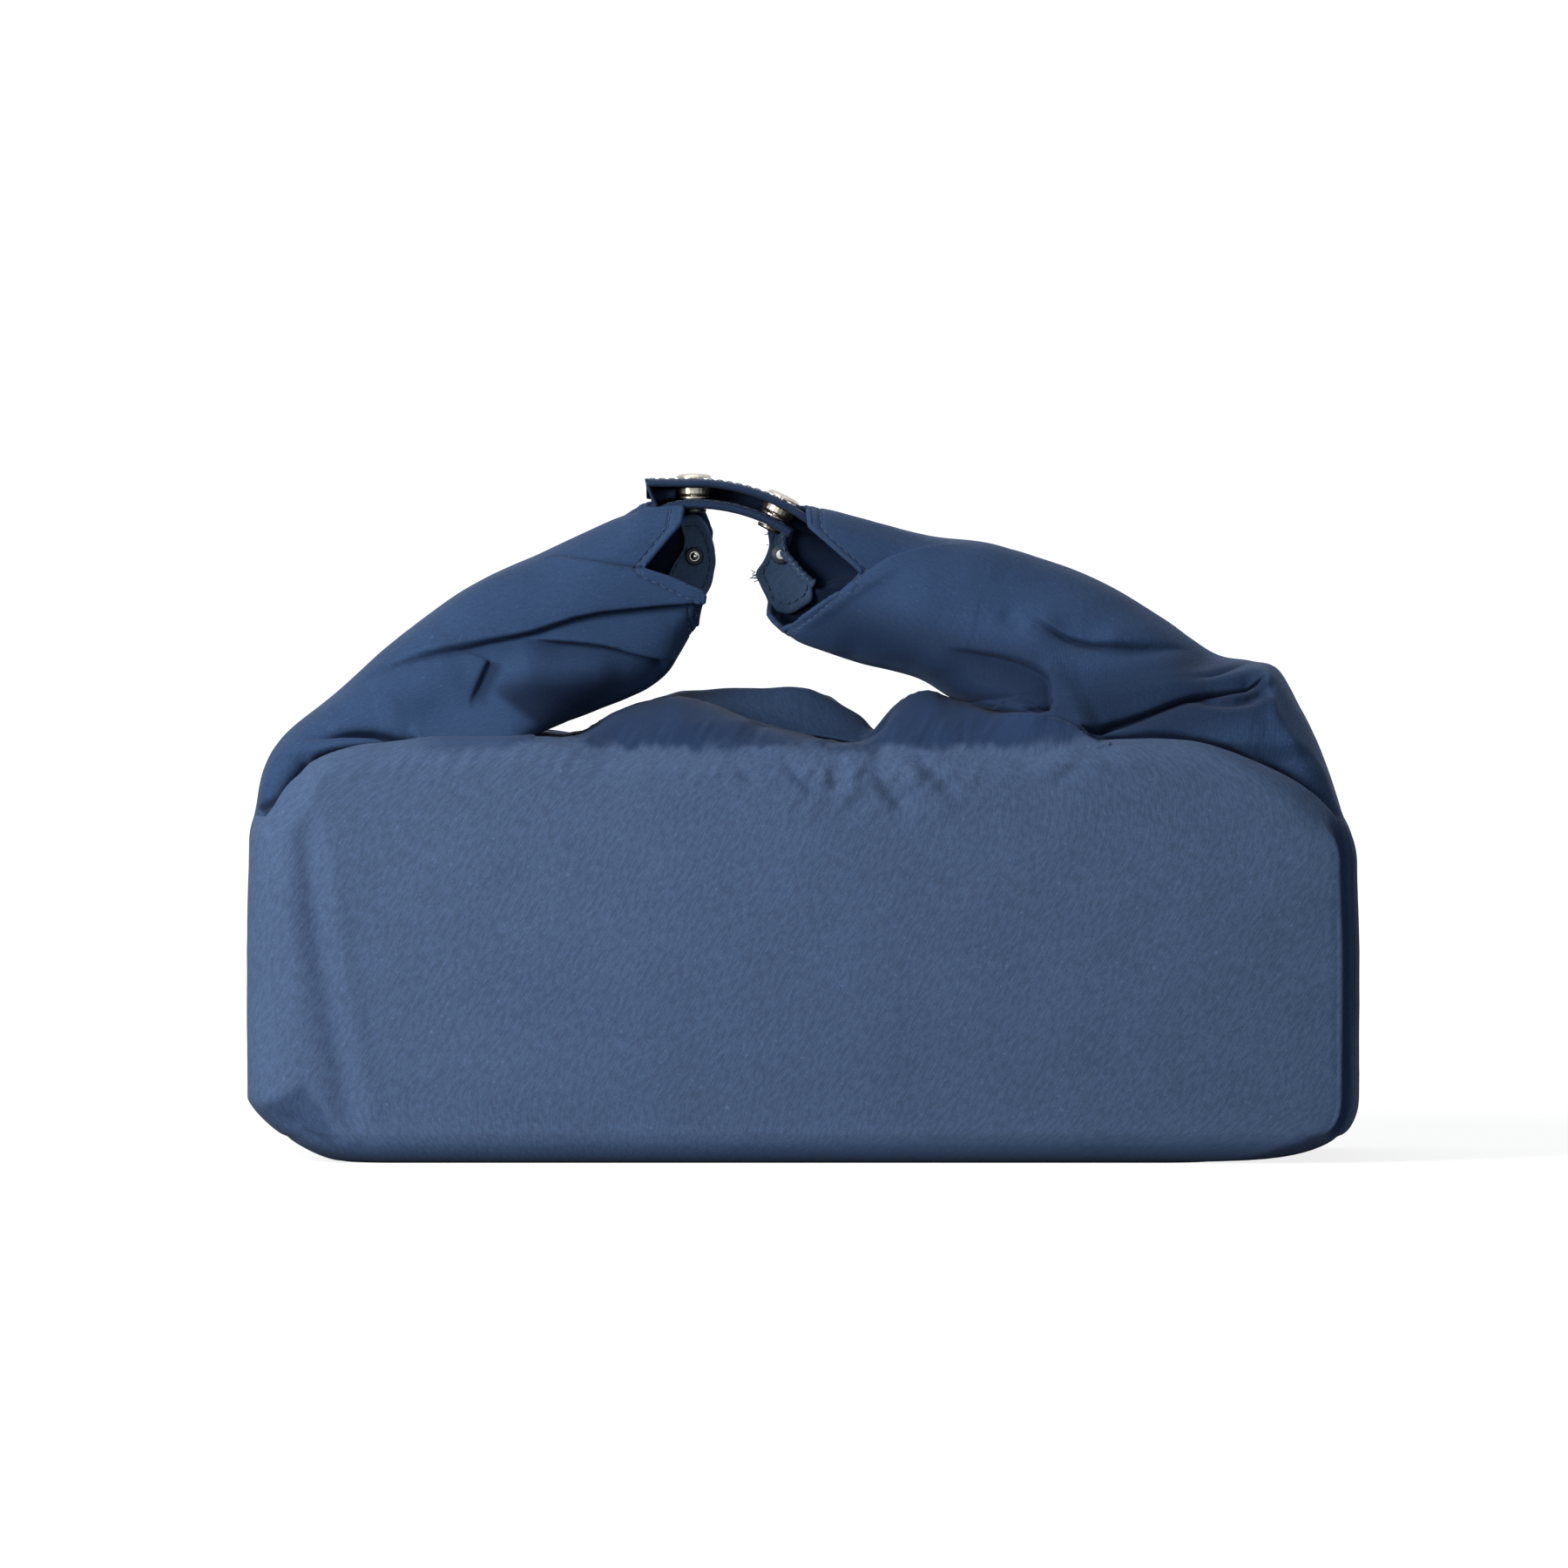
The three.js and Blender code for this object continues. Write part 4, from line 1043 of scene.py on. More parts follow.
def left_relief(P, N):
    x, y, z = P[..., 0], P[..., 1], P[..., 2]
    folds = horn_folds(P, N, 41)
    main = px(
        (388, 800), (404, 786), (436, 765), (470, 751), (511, 739),
        (558, 728), (605, 719), (640, 708), (690, 696), (812, 685),
    )
    folds.lap(main, 1.8, 10, 4.2, 5.0, 1.3, 0.4, (0.42, 0.01))
    second = px((600, 727), (630, 729), (659, 731), (698, 737), (729, 747), (775, 757))
    folds.lap(second, 1.3, 4, 4.6, 6.5, 1.0, 0.5, (0.3, 0.05))
    pinch = px((541, 816), (540, 800), (546, 783), (554, 765), (561, 750))
    folds.lap(pinch, 1.2, 8, 1.6, 6, 0.6, 0.5, (0.6, 0.1))
    # painted shade to the right of the pinch
    folds.shade(pinch[::-1], 0.55, 0.4, 6, (0.08, 0.6))
    folds.tuck(px((548, 788), (580, 784), (620, 783), (660, 781), (700, 775)), -1.4, 7, 12, (0.25, 0.4))
    # painted shade on the underside of the horn, with a point towards the pinch
    below = line_field(x, z, px((760, 752), (700, 752), (620, 760), (540, 774)))[0]
    beyond = line_field(x, z, px((552, 778), (577, 803), (600, 822), (640, 850)))[0]
    wedge = smooth(0, 9, below) * smooth(-0.8, 2.4, beyond) * smooth(-38, -62, x)
    folds.tone = np.maximum(folds.tone, 0.72 * wedge * folds.half)
    folds.ridge(px((575, 752), (610, 762), (660, 770), (720, 775)), 1.6, 6)
    folds.ridge(px((420, 805), (500, 780), (540, 765)), 1.2, 8)
    folds.ridge(px((450, 820), (500, 812), (560, 822)), -1.6, 5, (0.5, 0.5))
    folds.ridge(px((480, 715), (560, 672), (640, 650)), 0.9, 7, (0.4, 0.4))
    folds.ridge(px((520, 720), (600, 700), (680, 682)), -0.7, 5, (0.4, 0.4))
    roll = px((812, 672), (785, 664), (757, 657), (733, 651), (706, 647), (668, 641), (626, 638), (600, 645))
    folds.lap(roll, 1.0, 7, 1.5, 6, 0.6, 0.5, (0.02, 0.45))
    # the deep crevices along the shoulder of the box, with painted shade inside
    corner = px((300, 928), (306, 918), (313, 908), (326, 886), (342, 870), (360, 861))
    folds.crevice(corner, 5.0, 1.9, (0.02, 0.3))
    folds.crevice(px((336, 874), (360, 862), (387, 855), (425, 850), (470, 846)), 3.0, 0.7, (0.2, 0.6))
    upper = px((338, 845), (365, 838), (393, 834), (430, 835), (457, 842), (480, 843))
    folds.tuck(upper, 2.6, 3.0, 1.6, (0.3, 0.1))
    folds.crevice(upper, 2.8, 1.2, (0.6, 0.05))
    # beside the tab the cloth stands up to its height
    folds.move[..., 2] += 2.6 * smooth(-54, -45, x) * smooth(172, 182, z) * smooth(9, 13, np.abs(y))
    # the front edge of the root keeps behind the corner of the box, with a dark gap
    folds.height -= 3.2 * smooth(119.5, 115, z) * smooth(-38, -47, y)
    back_laps(
        folds, N,
        ([(-150, 108), (-128, 132), (-100, 148), (-70, 158), (-40, 162)], (0.3, 0.1)),
        ([(-135, 126), (-112, 146), (-85, 160), (-60, 172)], (0.3, 0.3)),
        ([(-110, 124), (-88, 137), (-64, 142), (-42, 147)], (0.3, 0.1)),
    )
    return folds


def right_relief(P, N):
    y, z = P[..., 1], P[..., 2]
    folds = horn_folds(P, N, 51)
    rim = px(
        (1120, 617), (1087, 621), (1050, 630), (1018, 639), (995, 655), (972, 673), (940, 703), (900, 728)
    )
    folds.lap(rim, 1.7, 8, 3.0, 9, 0.9, 0.5, (0.4, 0.02))
    folds.ridge(px((912, 722), (950, 700), (990, 672), (1040, 646)), 0.7, 1.5)
    middle = px((1078, 741), (1119, 743), (1160, 750), (1191, 762), (1206, 773), (1208, 790), (1204, 812))
    folds.lap(middle, 1.6, 10, 3.4, 9, 1.0, 0.7, (0.35, 0.06))
    # painted shade under the middle fold and over the lower part of the horn
    folds.shade(middle[::-1], 0.55, 0.5, 18, (0.05, 0.3))
    folds.shade(px((1215, 752), (1060, 716), (960, 690), (905, 684)), 0.5, 6, 60, (0.1, 0.05))
    folds.crevice(px((1172, 814), (1194, 807), (1213, 797)), 2.4, 1.5, (0.3, 0.15))
    folds.shade(px((1290, 812), (1255, 790), (1225, 765), (1200, 742)), 0.35, 4, 26, (0.2, 0.3))
    upper = px((1175, 694), (1197, 710), (1229, 725), (1261, 732), (1293, 734), (1330, 737), (1380, 742))
    folds.lap(upper, 1.6, 7, 4.4, 5.0, 1.0, 0.55, (0.35, 0.4))
    folds.ridge(px((1200, 706), (1240, 722), (1285, 730)), -1.8, 3.5, (0.4, 0.4))
    folds.ridge(px((1145, 698), (1165, 710), (1180, 724)), -1.2, 3.0, (0.4, 0.4))
    folds.ridge(px((1150, 700), (1205, 742), (1270, 757), (1330, 762), (1400, 770)), 2.4, 7)
    folds.ridge(px((1010, 690), (1070, 672), (1130, 672), (1160, 690)), 1.6, 10, (0.4, 0.4))
    flap = px(
        (1240, 828), (1266, 816), (1290, 810), (1319, 803), (1356, 790), (1394, 779), (1431, 771), (1458, 769)
    )
    folds.tuck(flap, 4.4, 9.5, 3.5, (0.12, 0.12))
    folds.lap(flap, 0.8, 4, 4.2, 6, 1.5, 0.45, (0.05, 0.04))
    folds.crevice([(p + 0.4, q - 1.3) for p, q in flap], 1.6, 1.3, (0.05, 0.25))
    # painted shade above and below the flap
    folds.shade(flap, 0.45, 0.3, 15, (0.15, 0.35))
    folds.shade(flap[::-1], 0.6, 0.4, 17, (0.02, 0.35))
    folds.ridge(px((1358, 787), (1386, 797), (1420, 801), (1450, 792), (1466, 774)), -2.8, 1.8, (0.3, 0.2))
    folds.ridge(px((1290, 835), (1350, 824), (1400, 818), (1440, 812), (1478, 832)), 2.0, 8)
    folds.ridge(px((1466, 768), (1452, 795), (1478, 840), (1528, 905)), 1.3, 2.4)
    folds.ridge(px((955, 738), (1010, 748), (1070, 775)), -1.4, 6)
    # the deep crevices along the shoulder of the box, with painted shade inside
    under = px((1243, 828), (1262, 834), (1303, 836), (1356, 842), (1401, 851), (1424, 858), (1450, 870))
    folds.crevice(under, 3.0, 0.9, (0.1, 0.1))
    corner = px((1430, 862), (1455, 871), (1484, 884), (1506, 902), (1524, 922), (1536, 938))
    folds.crevice(corner, 5.0, 1.9, (0.3, 0.02))
    folds.crevice(px((1252, 835), (1268, 845), (1288, 850)), 3.0, 1.4, (0.3, 0.3))
    folds.height -= 3.4 * smooth(121, 116, z) * smooth(-38, -47, y)
    back_laps(
        folds, N,
        ([(-8, 160), (22, 168), (55, 160), (95, 142), (128, 118)], (0.1, 0.3)),
        ([(30, 176), (60, 168), (95, 156), (125, 140)], (0.3, 0.3)),
        ([(10, 148), (45, 146), (80, 136), (112, 122)], (0.3, 0.2)),
    )
    return folds


# what is missing from the tubes of the horns at their mouths, in the front view
LEFT_NOTCH = [
    (-33.5, 195), (-36.0, 183), (-46.7, 170.2), (-39.5, 167.7),
    (-33.5, 164.8), (-27, 162), (-10, 161), (-10, 195),
]
LEFT_BACK_NOTCH = [(-31, 190), (-28.5, 184.5), (-26, 177.5), (-25, 172), (-10, 172), (-10, 190)]
RIGHT_NOTCH = [
    (1.5, 190), (2.3, 182.5), (17.5, 169.0), (10.5, 163),
    (-2, 154.2), (-7.5, 150.5), (-30, 150), (-30, 190),
]
# half the width of the slots in which the tabs lie
SLOT_HALF = 12.9


def left_removed(P):
    x, y, z = P[..., 0], P[..., 1], P[..., 2]
    slot = (np.abs(y) < SLOT_HALF) & (x > -45.4) & (z > 175)
    front = point_in(x, z, LEFT_NOTCH) & (y < 0)
    return front | (point_in(x, z, LEFT_BACK_NOTCH) & (y > 0)) | slot


def right_removed(P):
    x, y, z = P[..., 0], P[..., 1], P[..., 2]
    slot = (np.abs(y) < SLOT_HALF) & (x < 1.2) & (z > 165)
    return (point_in(x, z, RIGHT_NOTCH) & (y < 0)) | slot


HORN_ROWS, TRIMMED_ROWS, HORN_COLUMNS = 360, 340, 480
HEM_SEAM = 3.4


def horn_grid(ribs, side, relief_of, removed):
    """The cloth of a horn: its points, its tone of painted shade and the length of cloth from each to the
    mouth.
    """
    P = horn_surface(ribs, HORN_ROWS, HORN_COLUMNS)
    if side < 0:
        P = P[:, ::-1]
    N = grid_normals(P, True)
    folds = relief_of(P, N)
    root = smooth(0, 0.05, np.linspace(0, 1, len(P)))[:, None]
    P = P + (N * folds.height[..., None] + folds.move) * root[..., None]
    P = trim(np.concatenate([P, folds.tone[..., None]], -1), removed(P), TRIMMED_ROWS)
    P, tone = P[..., :3], P[..., 3]
    # a hem along the mouth: a groove where it is sewn, and a slight swelling at the edge
    N = grid_normals(P, True)
    lengths = np.linalg.norm(np.diff(P, axis=0), axis=2)
    from_end = np.concatenate([np.cumsum(lengths[::-1], axis=0)[::-1], np.zeros((1, P.shape[1]))])
    groove = 0.4 * np.exp(-(((from_end - HEM_SEAM) / 0.55) ** 2))
    swelling = 0.25 * np.exp(-(((from_end - 1.5) / 1.2) ** 2))
    return P + N * (swelling - groove)[..., None], tone, from_end


def dress_horn(name, P, tone, from_end, node_name, start, end):
    """Cloth, rolled edge and stitches of a horn."""
    shell = cloth_grid(name, P, HORN_CLOTH_THICK, True, HORN_CLOTH)
    # painted shade: the inside face of the horn's cloth is at least 0.75 dark
    set_tone(shell, tone, np.maximum(tone, 0.75))
    N = grid_normals(P, True)
    bead = strands(name + "_bead", [(P[-1] - N[-1] * 0.5)[::2]], 0.9, HORN_CLOTH, 10, True)
    put_between(join([shell, bead], name), "bag", node_name, start, end, "cloth", node_name)
    row = np.argmin(np.abs(from_end - HEM_SEAM), axis=0)
    cols = np.arange(P.shape[1])
    seam, lift = P[row, cols], N[row, cols]
    # where the mouth's outline jumps, the stitches start anew
    jump = np.linalg.norm(np.diff(seam, axis=0), axis=1)
    longest_step, fewest = 2.5, 8
    pieces, begin = [], 0
    for k in list(np.nonzero(jump > longest_step)[0]) + [len(seam) - 1]:
        if k - begin > fewest:
            pieces += stitch_paths(seam[begin : k + 1], lift[begin : k + 1])
        begin = k + 1
    put(strands(node_name + "_stitches", pieces, 0.2, THREAD), node_name, "hem")


# two points beside each horn's hinge, in metres, for its cloth
left_grid = horn_grid(LEFT_RIBS, -1, left_relief, left_removed)
right_grid = horn_grid(RIGHT_RIBS, 1, right_relief, right_removed)
dress_horn("left_horn_cloth", *left_grid, "left_horn", (-0.1585, 0, 0.0995), (-0.150, 0, 0.115))
dress_horn("right_horn_cloth", *right_grid, "right_horn", (0.1560, 0, 0.0975), (0.149, 0, 0.113))


# Lips over the mouth
# the outlines of the lips' crests in the front view
FRONT_TOP = [
    (-84, 122.9), (-78, 122.8), (-73, 121.8), (-69, 121.2), (-65, 121.8), (-60, 125),
    (-55.5, 128), (-48, 131), (-40.5, 132.6), (-36.75, 133.2), (-31, 132.2), (-25, 130.4),
    (-15.75, 126.6), (-3.25, 122.8), (5, 120.6), (11, 119.5), (16, 119.8), (19, 121.6), (21.5, 124.6),
    (24, 127.8), (26.6, 130.6), (31, 133.4), (35, 134.7), (38, 134.4), (41.5, 132.8), (49.5, 130.8),
    (57.5, 129.6), (66, 129.2), (73, 127.6), (78, 125.4), (83, 122.2), (88, 119.6), (90, 119),
]
BACK_TOP = [
    (-84, 119.4), (-72, 120.8), (-64, 122), (-56, 125.6), (-48, 129.8), (-43, 132.2), (-35, 133.6),
    (-23, 134.6), (-14, 135.1), (-4, 135.6), (2, 134.6), (8, 131.6), (12, 129.4), (17, 126.6),
    (21.5, 124), (26, 123.2), (35, 124), (45, 124), (60, 122), (78, 120),
]
# the share of the way to the middle at which the front lip crests: early beside the right horn
FRONT_REACH = [(46, 1), (52, 0.8), (58, 0.45), (62, 0.25), (66, 0.14), (73, 0.1), (80, 0.075), (90, 0.05)]
# the height under which the front lip stays where it runs below the right horn
UNDER_HORN = [
    (30, 140), (41.5, 130.8), (46, 128.8), (50.5, 127.4), (57.5, 126.2), (66, 124.6), (73, 122.4), (80, 118.6)
]
# folds of both lips seen from above, as (x, distance from the middle): height, width, ends
LIP_FOLDS = [
    ([(21.5, 2), (21.5, 25), (22, 52), (22.5, 57)], -1.5, 3.0, (0.1, 0.02)),
    ([(10, 18), (4, 40), (3, 56)], 0.7, 2.2, (0.25, 0.25)),
    ([(-10, 12), (-13, 34), (-16, 55)], -0.8, 2.6, (0.25, 0.25)),
    ([(-33, 6), (-36, 30), (-38, 50)], 0.6, 4, (0.25, 0.25)),
    ([(33, 6), (38, 30), (41, 52)], 0.7, 3.5, (0.25, 0.25)),
    ([(52, 14), (56, 34), (60, 54)], -0.7, 3, (0.25, 0.25)),
    ([(-58, 14), (-62, 34), (-64, 54)], -0.6, 3, (0.25, 0.25)),
]
# how far the lips go on under the cloth of the wall, as a share of their reach over the mouth
LIP_ROOT = 0.14


def lip(node_name, side, seed):
    """Cloth from the turned top edge of a long wall to the middle of the mouth."""
    front = side < 0
    x = np.linspace(LIP_LEFT - 3.5, LIP_RIGHT + (13.0 if front else 3.5), 350)[None]
    s = np.linspace(-LIP_ROOT, 1, 110)[:, None] + 0 * x
    reach = smooth_table(x, FRONT_REACH) if front else 1.0 + 0 * x
    top = smooth_table(x, FRONT_TOP if front else BACK_TOP)
    # the root follows the rounded top edge of the wall, and the cloth leaves it at a tangent
    round_y, round_z = BAG_DEPTH / 2 - FACE_CROWN - TOP_ROLL, BOX_HEIGHT - TOP_ROLL
    outside = TOP_ROLL + 0.12
    leave = math.radians(50)
    below = np.minimum(s, 0) / LIP_ROOT
    turn = leave + below * math.radians(20)
    right = LIP_RIGHT + (9.0 if front else -2.0)
    ends = smooth(right, right + 4, x) + smooth(-79, -83, x)
    radius = outside - 1.1 * below**2 - 0.6 * ends
    lift = edge_lift(x, BOX_HEIGHT)
    from_y = round_y + outside * math.cos(leave)
    from_z = round_z + outside * math.sin(leave) + lift
    t = np.clip(s, 0, 1)
    # past the bottom of the horn's mouth there is only a narrow strip in front of the horn
    span = 1 - 0.94 * smooth(77.5, 80.5, x)
    along = t * span
    way = np.where(s < 0, s, along)
    drop = np.maximum(top - from_z, 1)
    power = np.clip(0.84 * 54.5 / drop, 2, 16)
    rise = 1 - (1 - np.clip(along / reach, 0, 1)) ** power
    if not front:
        # the back lip crests behind the middle and dips under the edge of the front one
        crest = 0.78
        low = np.clip((smooth_table(x, FRONT_TOP) - 1.6 - from_z) / drop, 0.2, 1)
        down = smooth(crest, 1.06, t)
        rise = (1 - (1 - np.clip(t / crest, 0, 1)) ** power) * (1 - down) + low * down
    sunk = 0
    if front:
        # behind its crest the front lip sinks under the horn
        sunk = np.maximum(top - smooth_table(x, UNDER_HORN), 0) * smooth(0.02, 0.14, along - reach)
    y = np.where(s < 0, round_y + radius * np.cos(turn), from_y + (0.8 - from_y) * along)
    z = np.where(s < 0, round_z + radius * np.sin(turn) + lift, from_z + drop * rise - sunk)
    P = np.stack([x + 0 * y, side * y, z], -1)
    N = grid_normals(P, False) * (1 if front else -1)
    inner = smooth(0, 0.1, along) * smooth(1.02, 0.9, along)
    h = inner * (0.35 * noise(P, (11, 16, 12), seed) + 0.2 * noise(P, (5, 9, 8), seed + 1))
    fan = np.sin((x - y * 0.3 * np.tanh(x / 30)) / 4.6 + 2.4 * noise(P, (30, 30, 30), seed + 2))
    h = h + 0.35 * fan * smooth(0.03, 0.2, way) * smooth(1.0, 0.4, t)
    folds = Folds(np.stack([P[..., 0], P[..., 2], np.abs(P[..., 1])], -1))
    for fold in LIP_FOLDS:
        folds.ridge(*fold)
    h = h + folds.height * smooth(-0.12, 0.05, s) * smooth(1.02, 0.85, t)
    near_root = smooth(0.0, 0.05, way) * smooth(0.5, 0.1, t) * smooth(1.0, 0.8, t)
    h = h + 0.35 * near_root * slanted_noise(P, 58, 7, 1.6, seed + 5)
    # at its root the lip has the same relief as the wall below it
    wall_share = 1 - smooth(0.0, 0.1, way)
    low = P - np.stack([0 * z, 0 * z, lift + 0 * z], -1)
    h = h * (1 - wall_share) + body_relief(low, N) * wall_share
    P = P + N * h[..., None]
    made = cloth_grid(node_name + "_cloth", P, BODY_CLOTH_THICK, False, CLOTH, flip=not front)
    # painted shade: the lips darken over the mouth, the back one half as much, and along the top edge of the
    # wall at their roots
    tone = np.maximum(top_edge_painted_shade(P, 68), smooth(0.14, 0.4, way)) * smooth(-0.02, 0.06, way)
    tone = tone * (1.0 if front else 0.5) + 0.7 * top_edge_painted_shade(P, 68) * smooth(0.06, -0.02, way)
    set_tone(made, tone, tone)
    start, end = (0, side * 0.0525, 0.1187), (0, side * 0.043, 0.1187)
    put_between(made, "bag", node_name, start, end, "cloth", node_name)
    sewn = strands(node_name + "_stitches", stitch_paths(P[-8], N[-8], rise=0.05), 0.12, DARK_THREAD)
    put(sewn, node_name, "hem")


lip("front_lip", -1, 61)
lip("back_lip", 1, 71)


# Tabs
def arc_line(arch, start, end, steps):
    """Points and unit normals on the tab curve, whose crown is shared by all its arcs."""
    a = np.radians(np.linspace(start, end, steps))
    normal = np.stack([np.sin(a), np.cos(a)], 1)
    return np.array([TAB_CROWN[0], TAB_CROWN[1] - arch]) + normal * arch, normal


def tab_rings(line, normal, half_width, thicks, seed, wobble=0.12, sag=0.0):
    """Rings of a flat rounded bar along a line in the XZ plane; its back edge may sag."""
    a = np.linspace(0, 2 * np.pi, 64, endpoint=False)
    cy = np.sign(np.cos(a)) * np.abs(np.cos(a)) ** 0.28
    cz = np.sign(np.sin(a)) * np.abs(np.sin(a)) ** 0.75
    lift = cz * np.broadcast_to(thicks, len(line))[:, None] / 2
    across = np.tile(cy * half_width, (len(line), 1))
    P = np.stack([line[:, :1] + normal[:, :1] * lift, across, line[:, 1:] + normal[:, 1:] * lift], -1)
    edge = smooth(0.5, 1.0, np.abs(cy))[None]
    P[..., 2] += wobble * noise(P, (7, 7, 7), seed) * edge
    P[..., 1] += 0.35 * noise(P, (5, 9, 9), seed + 1) * edge
    P[..., 2] += sag * smooth(5.5, 12, P[..., 1])
    return P


def closed_bar(name, P):
    """A bar with both ends rounded off."""
    caps = []
    for row, inner in ((P[0], P[1]), (P[-1], P[-2])):
        middle = row.mean(0)
        out = (row - inner).mean(0)
        out = out / max(np.linalg.norm(out), 1e-6)
        steps = ((0.985, 0.35), (0.94, 0.6), (0.8, 0.7))
        caps.append([middle + (row - middle) * share + out * away for share, away in steps])
    return closed_rings(name, np.concatenate([np.stack(caps[0][::-1]), P, np.stack(caps[1])]), TAB_PAINTED_SHADE_CLOTH)


def edge_stitches(line, normal, half_width, lift, inset=2.2):
    """Stitch rows along both long edges of a tab, on its top face."""
    paths = []
    up = np.stack([normal[:, 0], 0 * normal[:, 0], normal[:, 1]], 1)
    for y in (half_width - inset, inset - half_width):
        middle = np.stack([line[:, 0], np.full(len(line), y), line[:, 1]], 1)
        paths += stitch_paths(middle + up * lift, up, rise=0.1)
    return paths


def dress_tab(name, horn, path, thicks, seed, sag, blend, sewn, thick):
    """Cloth and stitches of a tab that is held in a horn: blend is not used, and sewn gives
    the path of its stitches."""
    line, normal = path
    bar = closed_bar(name + "_cloth", tab_rings(line, normal, TAB_WIDTH / 2, thicks, seed, sag=sag))
    put_between(bar, horn, name, *blend, "hem", name.replace("_tab", "_snap_tab"))
    stitches = edge_stitches(*sewn, TAB_WIDTH / 2, thick / 2 - 0.05)
    put(strands(name + "_stitches", stitches, 0.13, THREAD), name, "hem")


# lower tab: it comes out of the left horn's mouth, under the horn's top cloth
small, small_n = arc_line(TAB_ROOT_ARCH, -29, 0, 16)
big, big_n = arc_line(TAB_ARCH, 0, 33, 34)
core_n = np.concatenate([small_n, big_n[1:]])
core = np.concatenate([small, big[1:]]) - core_n * LOWER_TAB_THICK / 2
line = np.concatenate([[(-58, 177.6), (-53, 180.2), (-48.2, 182.9)], core])
normal = np.concatenate([[(-0.45, 0.89), (-0.45, 0.89), (-0.47, 0.88)], core_n])
thicks = np.full(len(line), LOWER_TAB_THICK)
thicks[:3] = (1.2, 1.6, 2.2)
blend = (-0.0475, 0, 0.185), (-0.0405, 0, 0.1875)
sewn = core[6:], core_n[6:]
dress_tab("lower_tab", "left_horn", (line, normal), thicks, 81, 1.6, blend, sewn, LOWER_TAB_THICK)

# upper tab: from the right horn over both snaps to a turned-down tip
top_line, top_n = arc_line(TAB_ARCH, 0, 35.5, 40)
top_line = top_line + top_n * (TAB_SPACING + UPPER_TAB_THICK / 2)
flat = np.array([(x, top_line[0, 1]) for x in np.linspace(-44.6, -32.5, 10)])
flat_n = np.tile([0.0, 1.0], (len(flat), 1))
line = np.concatenate([flat, top_line, [(4.8, 182.9), (8.5, 181.9), (13.5, 180.6)]])
normal = np.concatenate([flat_n, top_n, [(0.3, 0.95), (0.25, 0.97), (0.25, 0.97)]])
thicks = np.full(len(line), UPPER_TAB_THICK)
thicks[-3:] = (2.0, 1.6, 1.2)
blend = (0.0075, 0, 0.1835), (0.0005, 0, 0.1855)
sewn = np.concatenate([flat, top_line[1:-3]]), np.concatenate([flat_n, top_n[1:-3]])
dress_tab("upper_tab", "right_horn", (line, normal), thicks, 91, -4.3, blend, sewn, UPPER_TAB_THICK)

# the tip of the upper tab is folded down at its end, and its edge is turned in under the tab
t = np.linspace(0, 1, 14)
down = np.stack([-45.0 + 0.9 * np.sin(t * 1.6) + 1.6 * t**2, 195.0 - 6.6 * t], 1)
down_n = np.stack([-np.cos(t * 0.5), np.sin(t * 0.5) * -0.2], 1)
down_n /= np.linalg.norm(down_n, axis=1, keepdims=True)
put(closed_bar("upper_tab_tip", tab_rings(down, down_n, 11.6, 1.1, 95, 0.2)), "upper_tab", "hem")
t = np.linspace(0, 1, 8)
turned = np.stack([-43.2 + 5.8 * t, 190.6 + 0.8 * t], 1)
fold = tab_rings(turned, np.tile([0.0, 1.0], (8, 1)), 7.5, 4.2 - 1.0 * t, 97, 0.2)
fold[..., 1] += 3.4
put(closed_bar("upper_tab_fold", fold), "upper_tab", "hem")

# Hems of the mouths
LEFT_HEM = [
    (-36.3, 184.5), (-34.4, 179), (-34.4, 175.5), (-39.6, 167.5), (-38, 160), (-33, 157),
    (-29, 160), (-26.2, 165), (-25.3, 171), (-25.8, 176), (-27.6, 181.6), (-30.5, 185.5),
]
RIGHT_HEM = [
    (-2, 183.5), (-10, 182.4), (-9.8, 176), (-11.2, 172.3), (-14, 168), (-12.6, 165.2), (-10.6, 160.7),
    (-9.5, 156.8), (-3, 156), (3, 160), (3.2, 165), (0.5, 168), (-3.6, 173.5), (-4.8, 177.5),
]
# the layers of a hem from its back to its front: share of the outline, place in its thickness
HEM_LAYERS = [
    (0.02, -1), (0.3, -1), (0.6, -1), (0.74, -0.75), (0.86, -1.15), (0.95, -1.0), (0.99, -0.55),
    (1.0, 0), (0.99, 0.55), (0.93, 0.95), (0.7, 1), (0.35, 1), (0.02, 1),
]


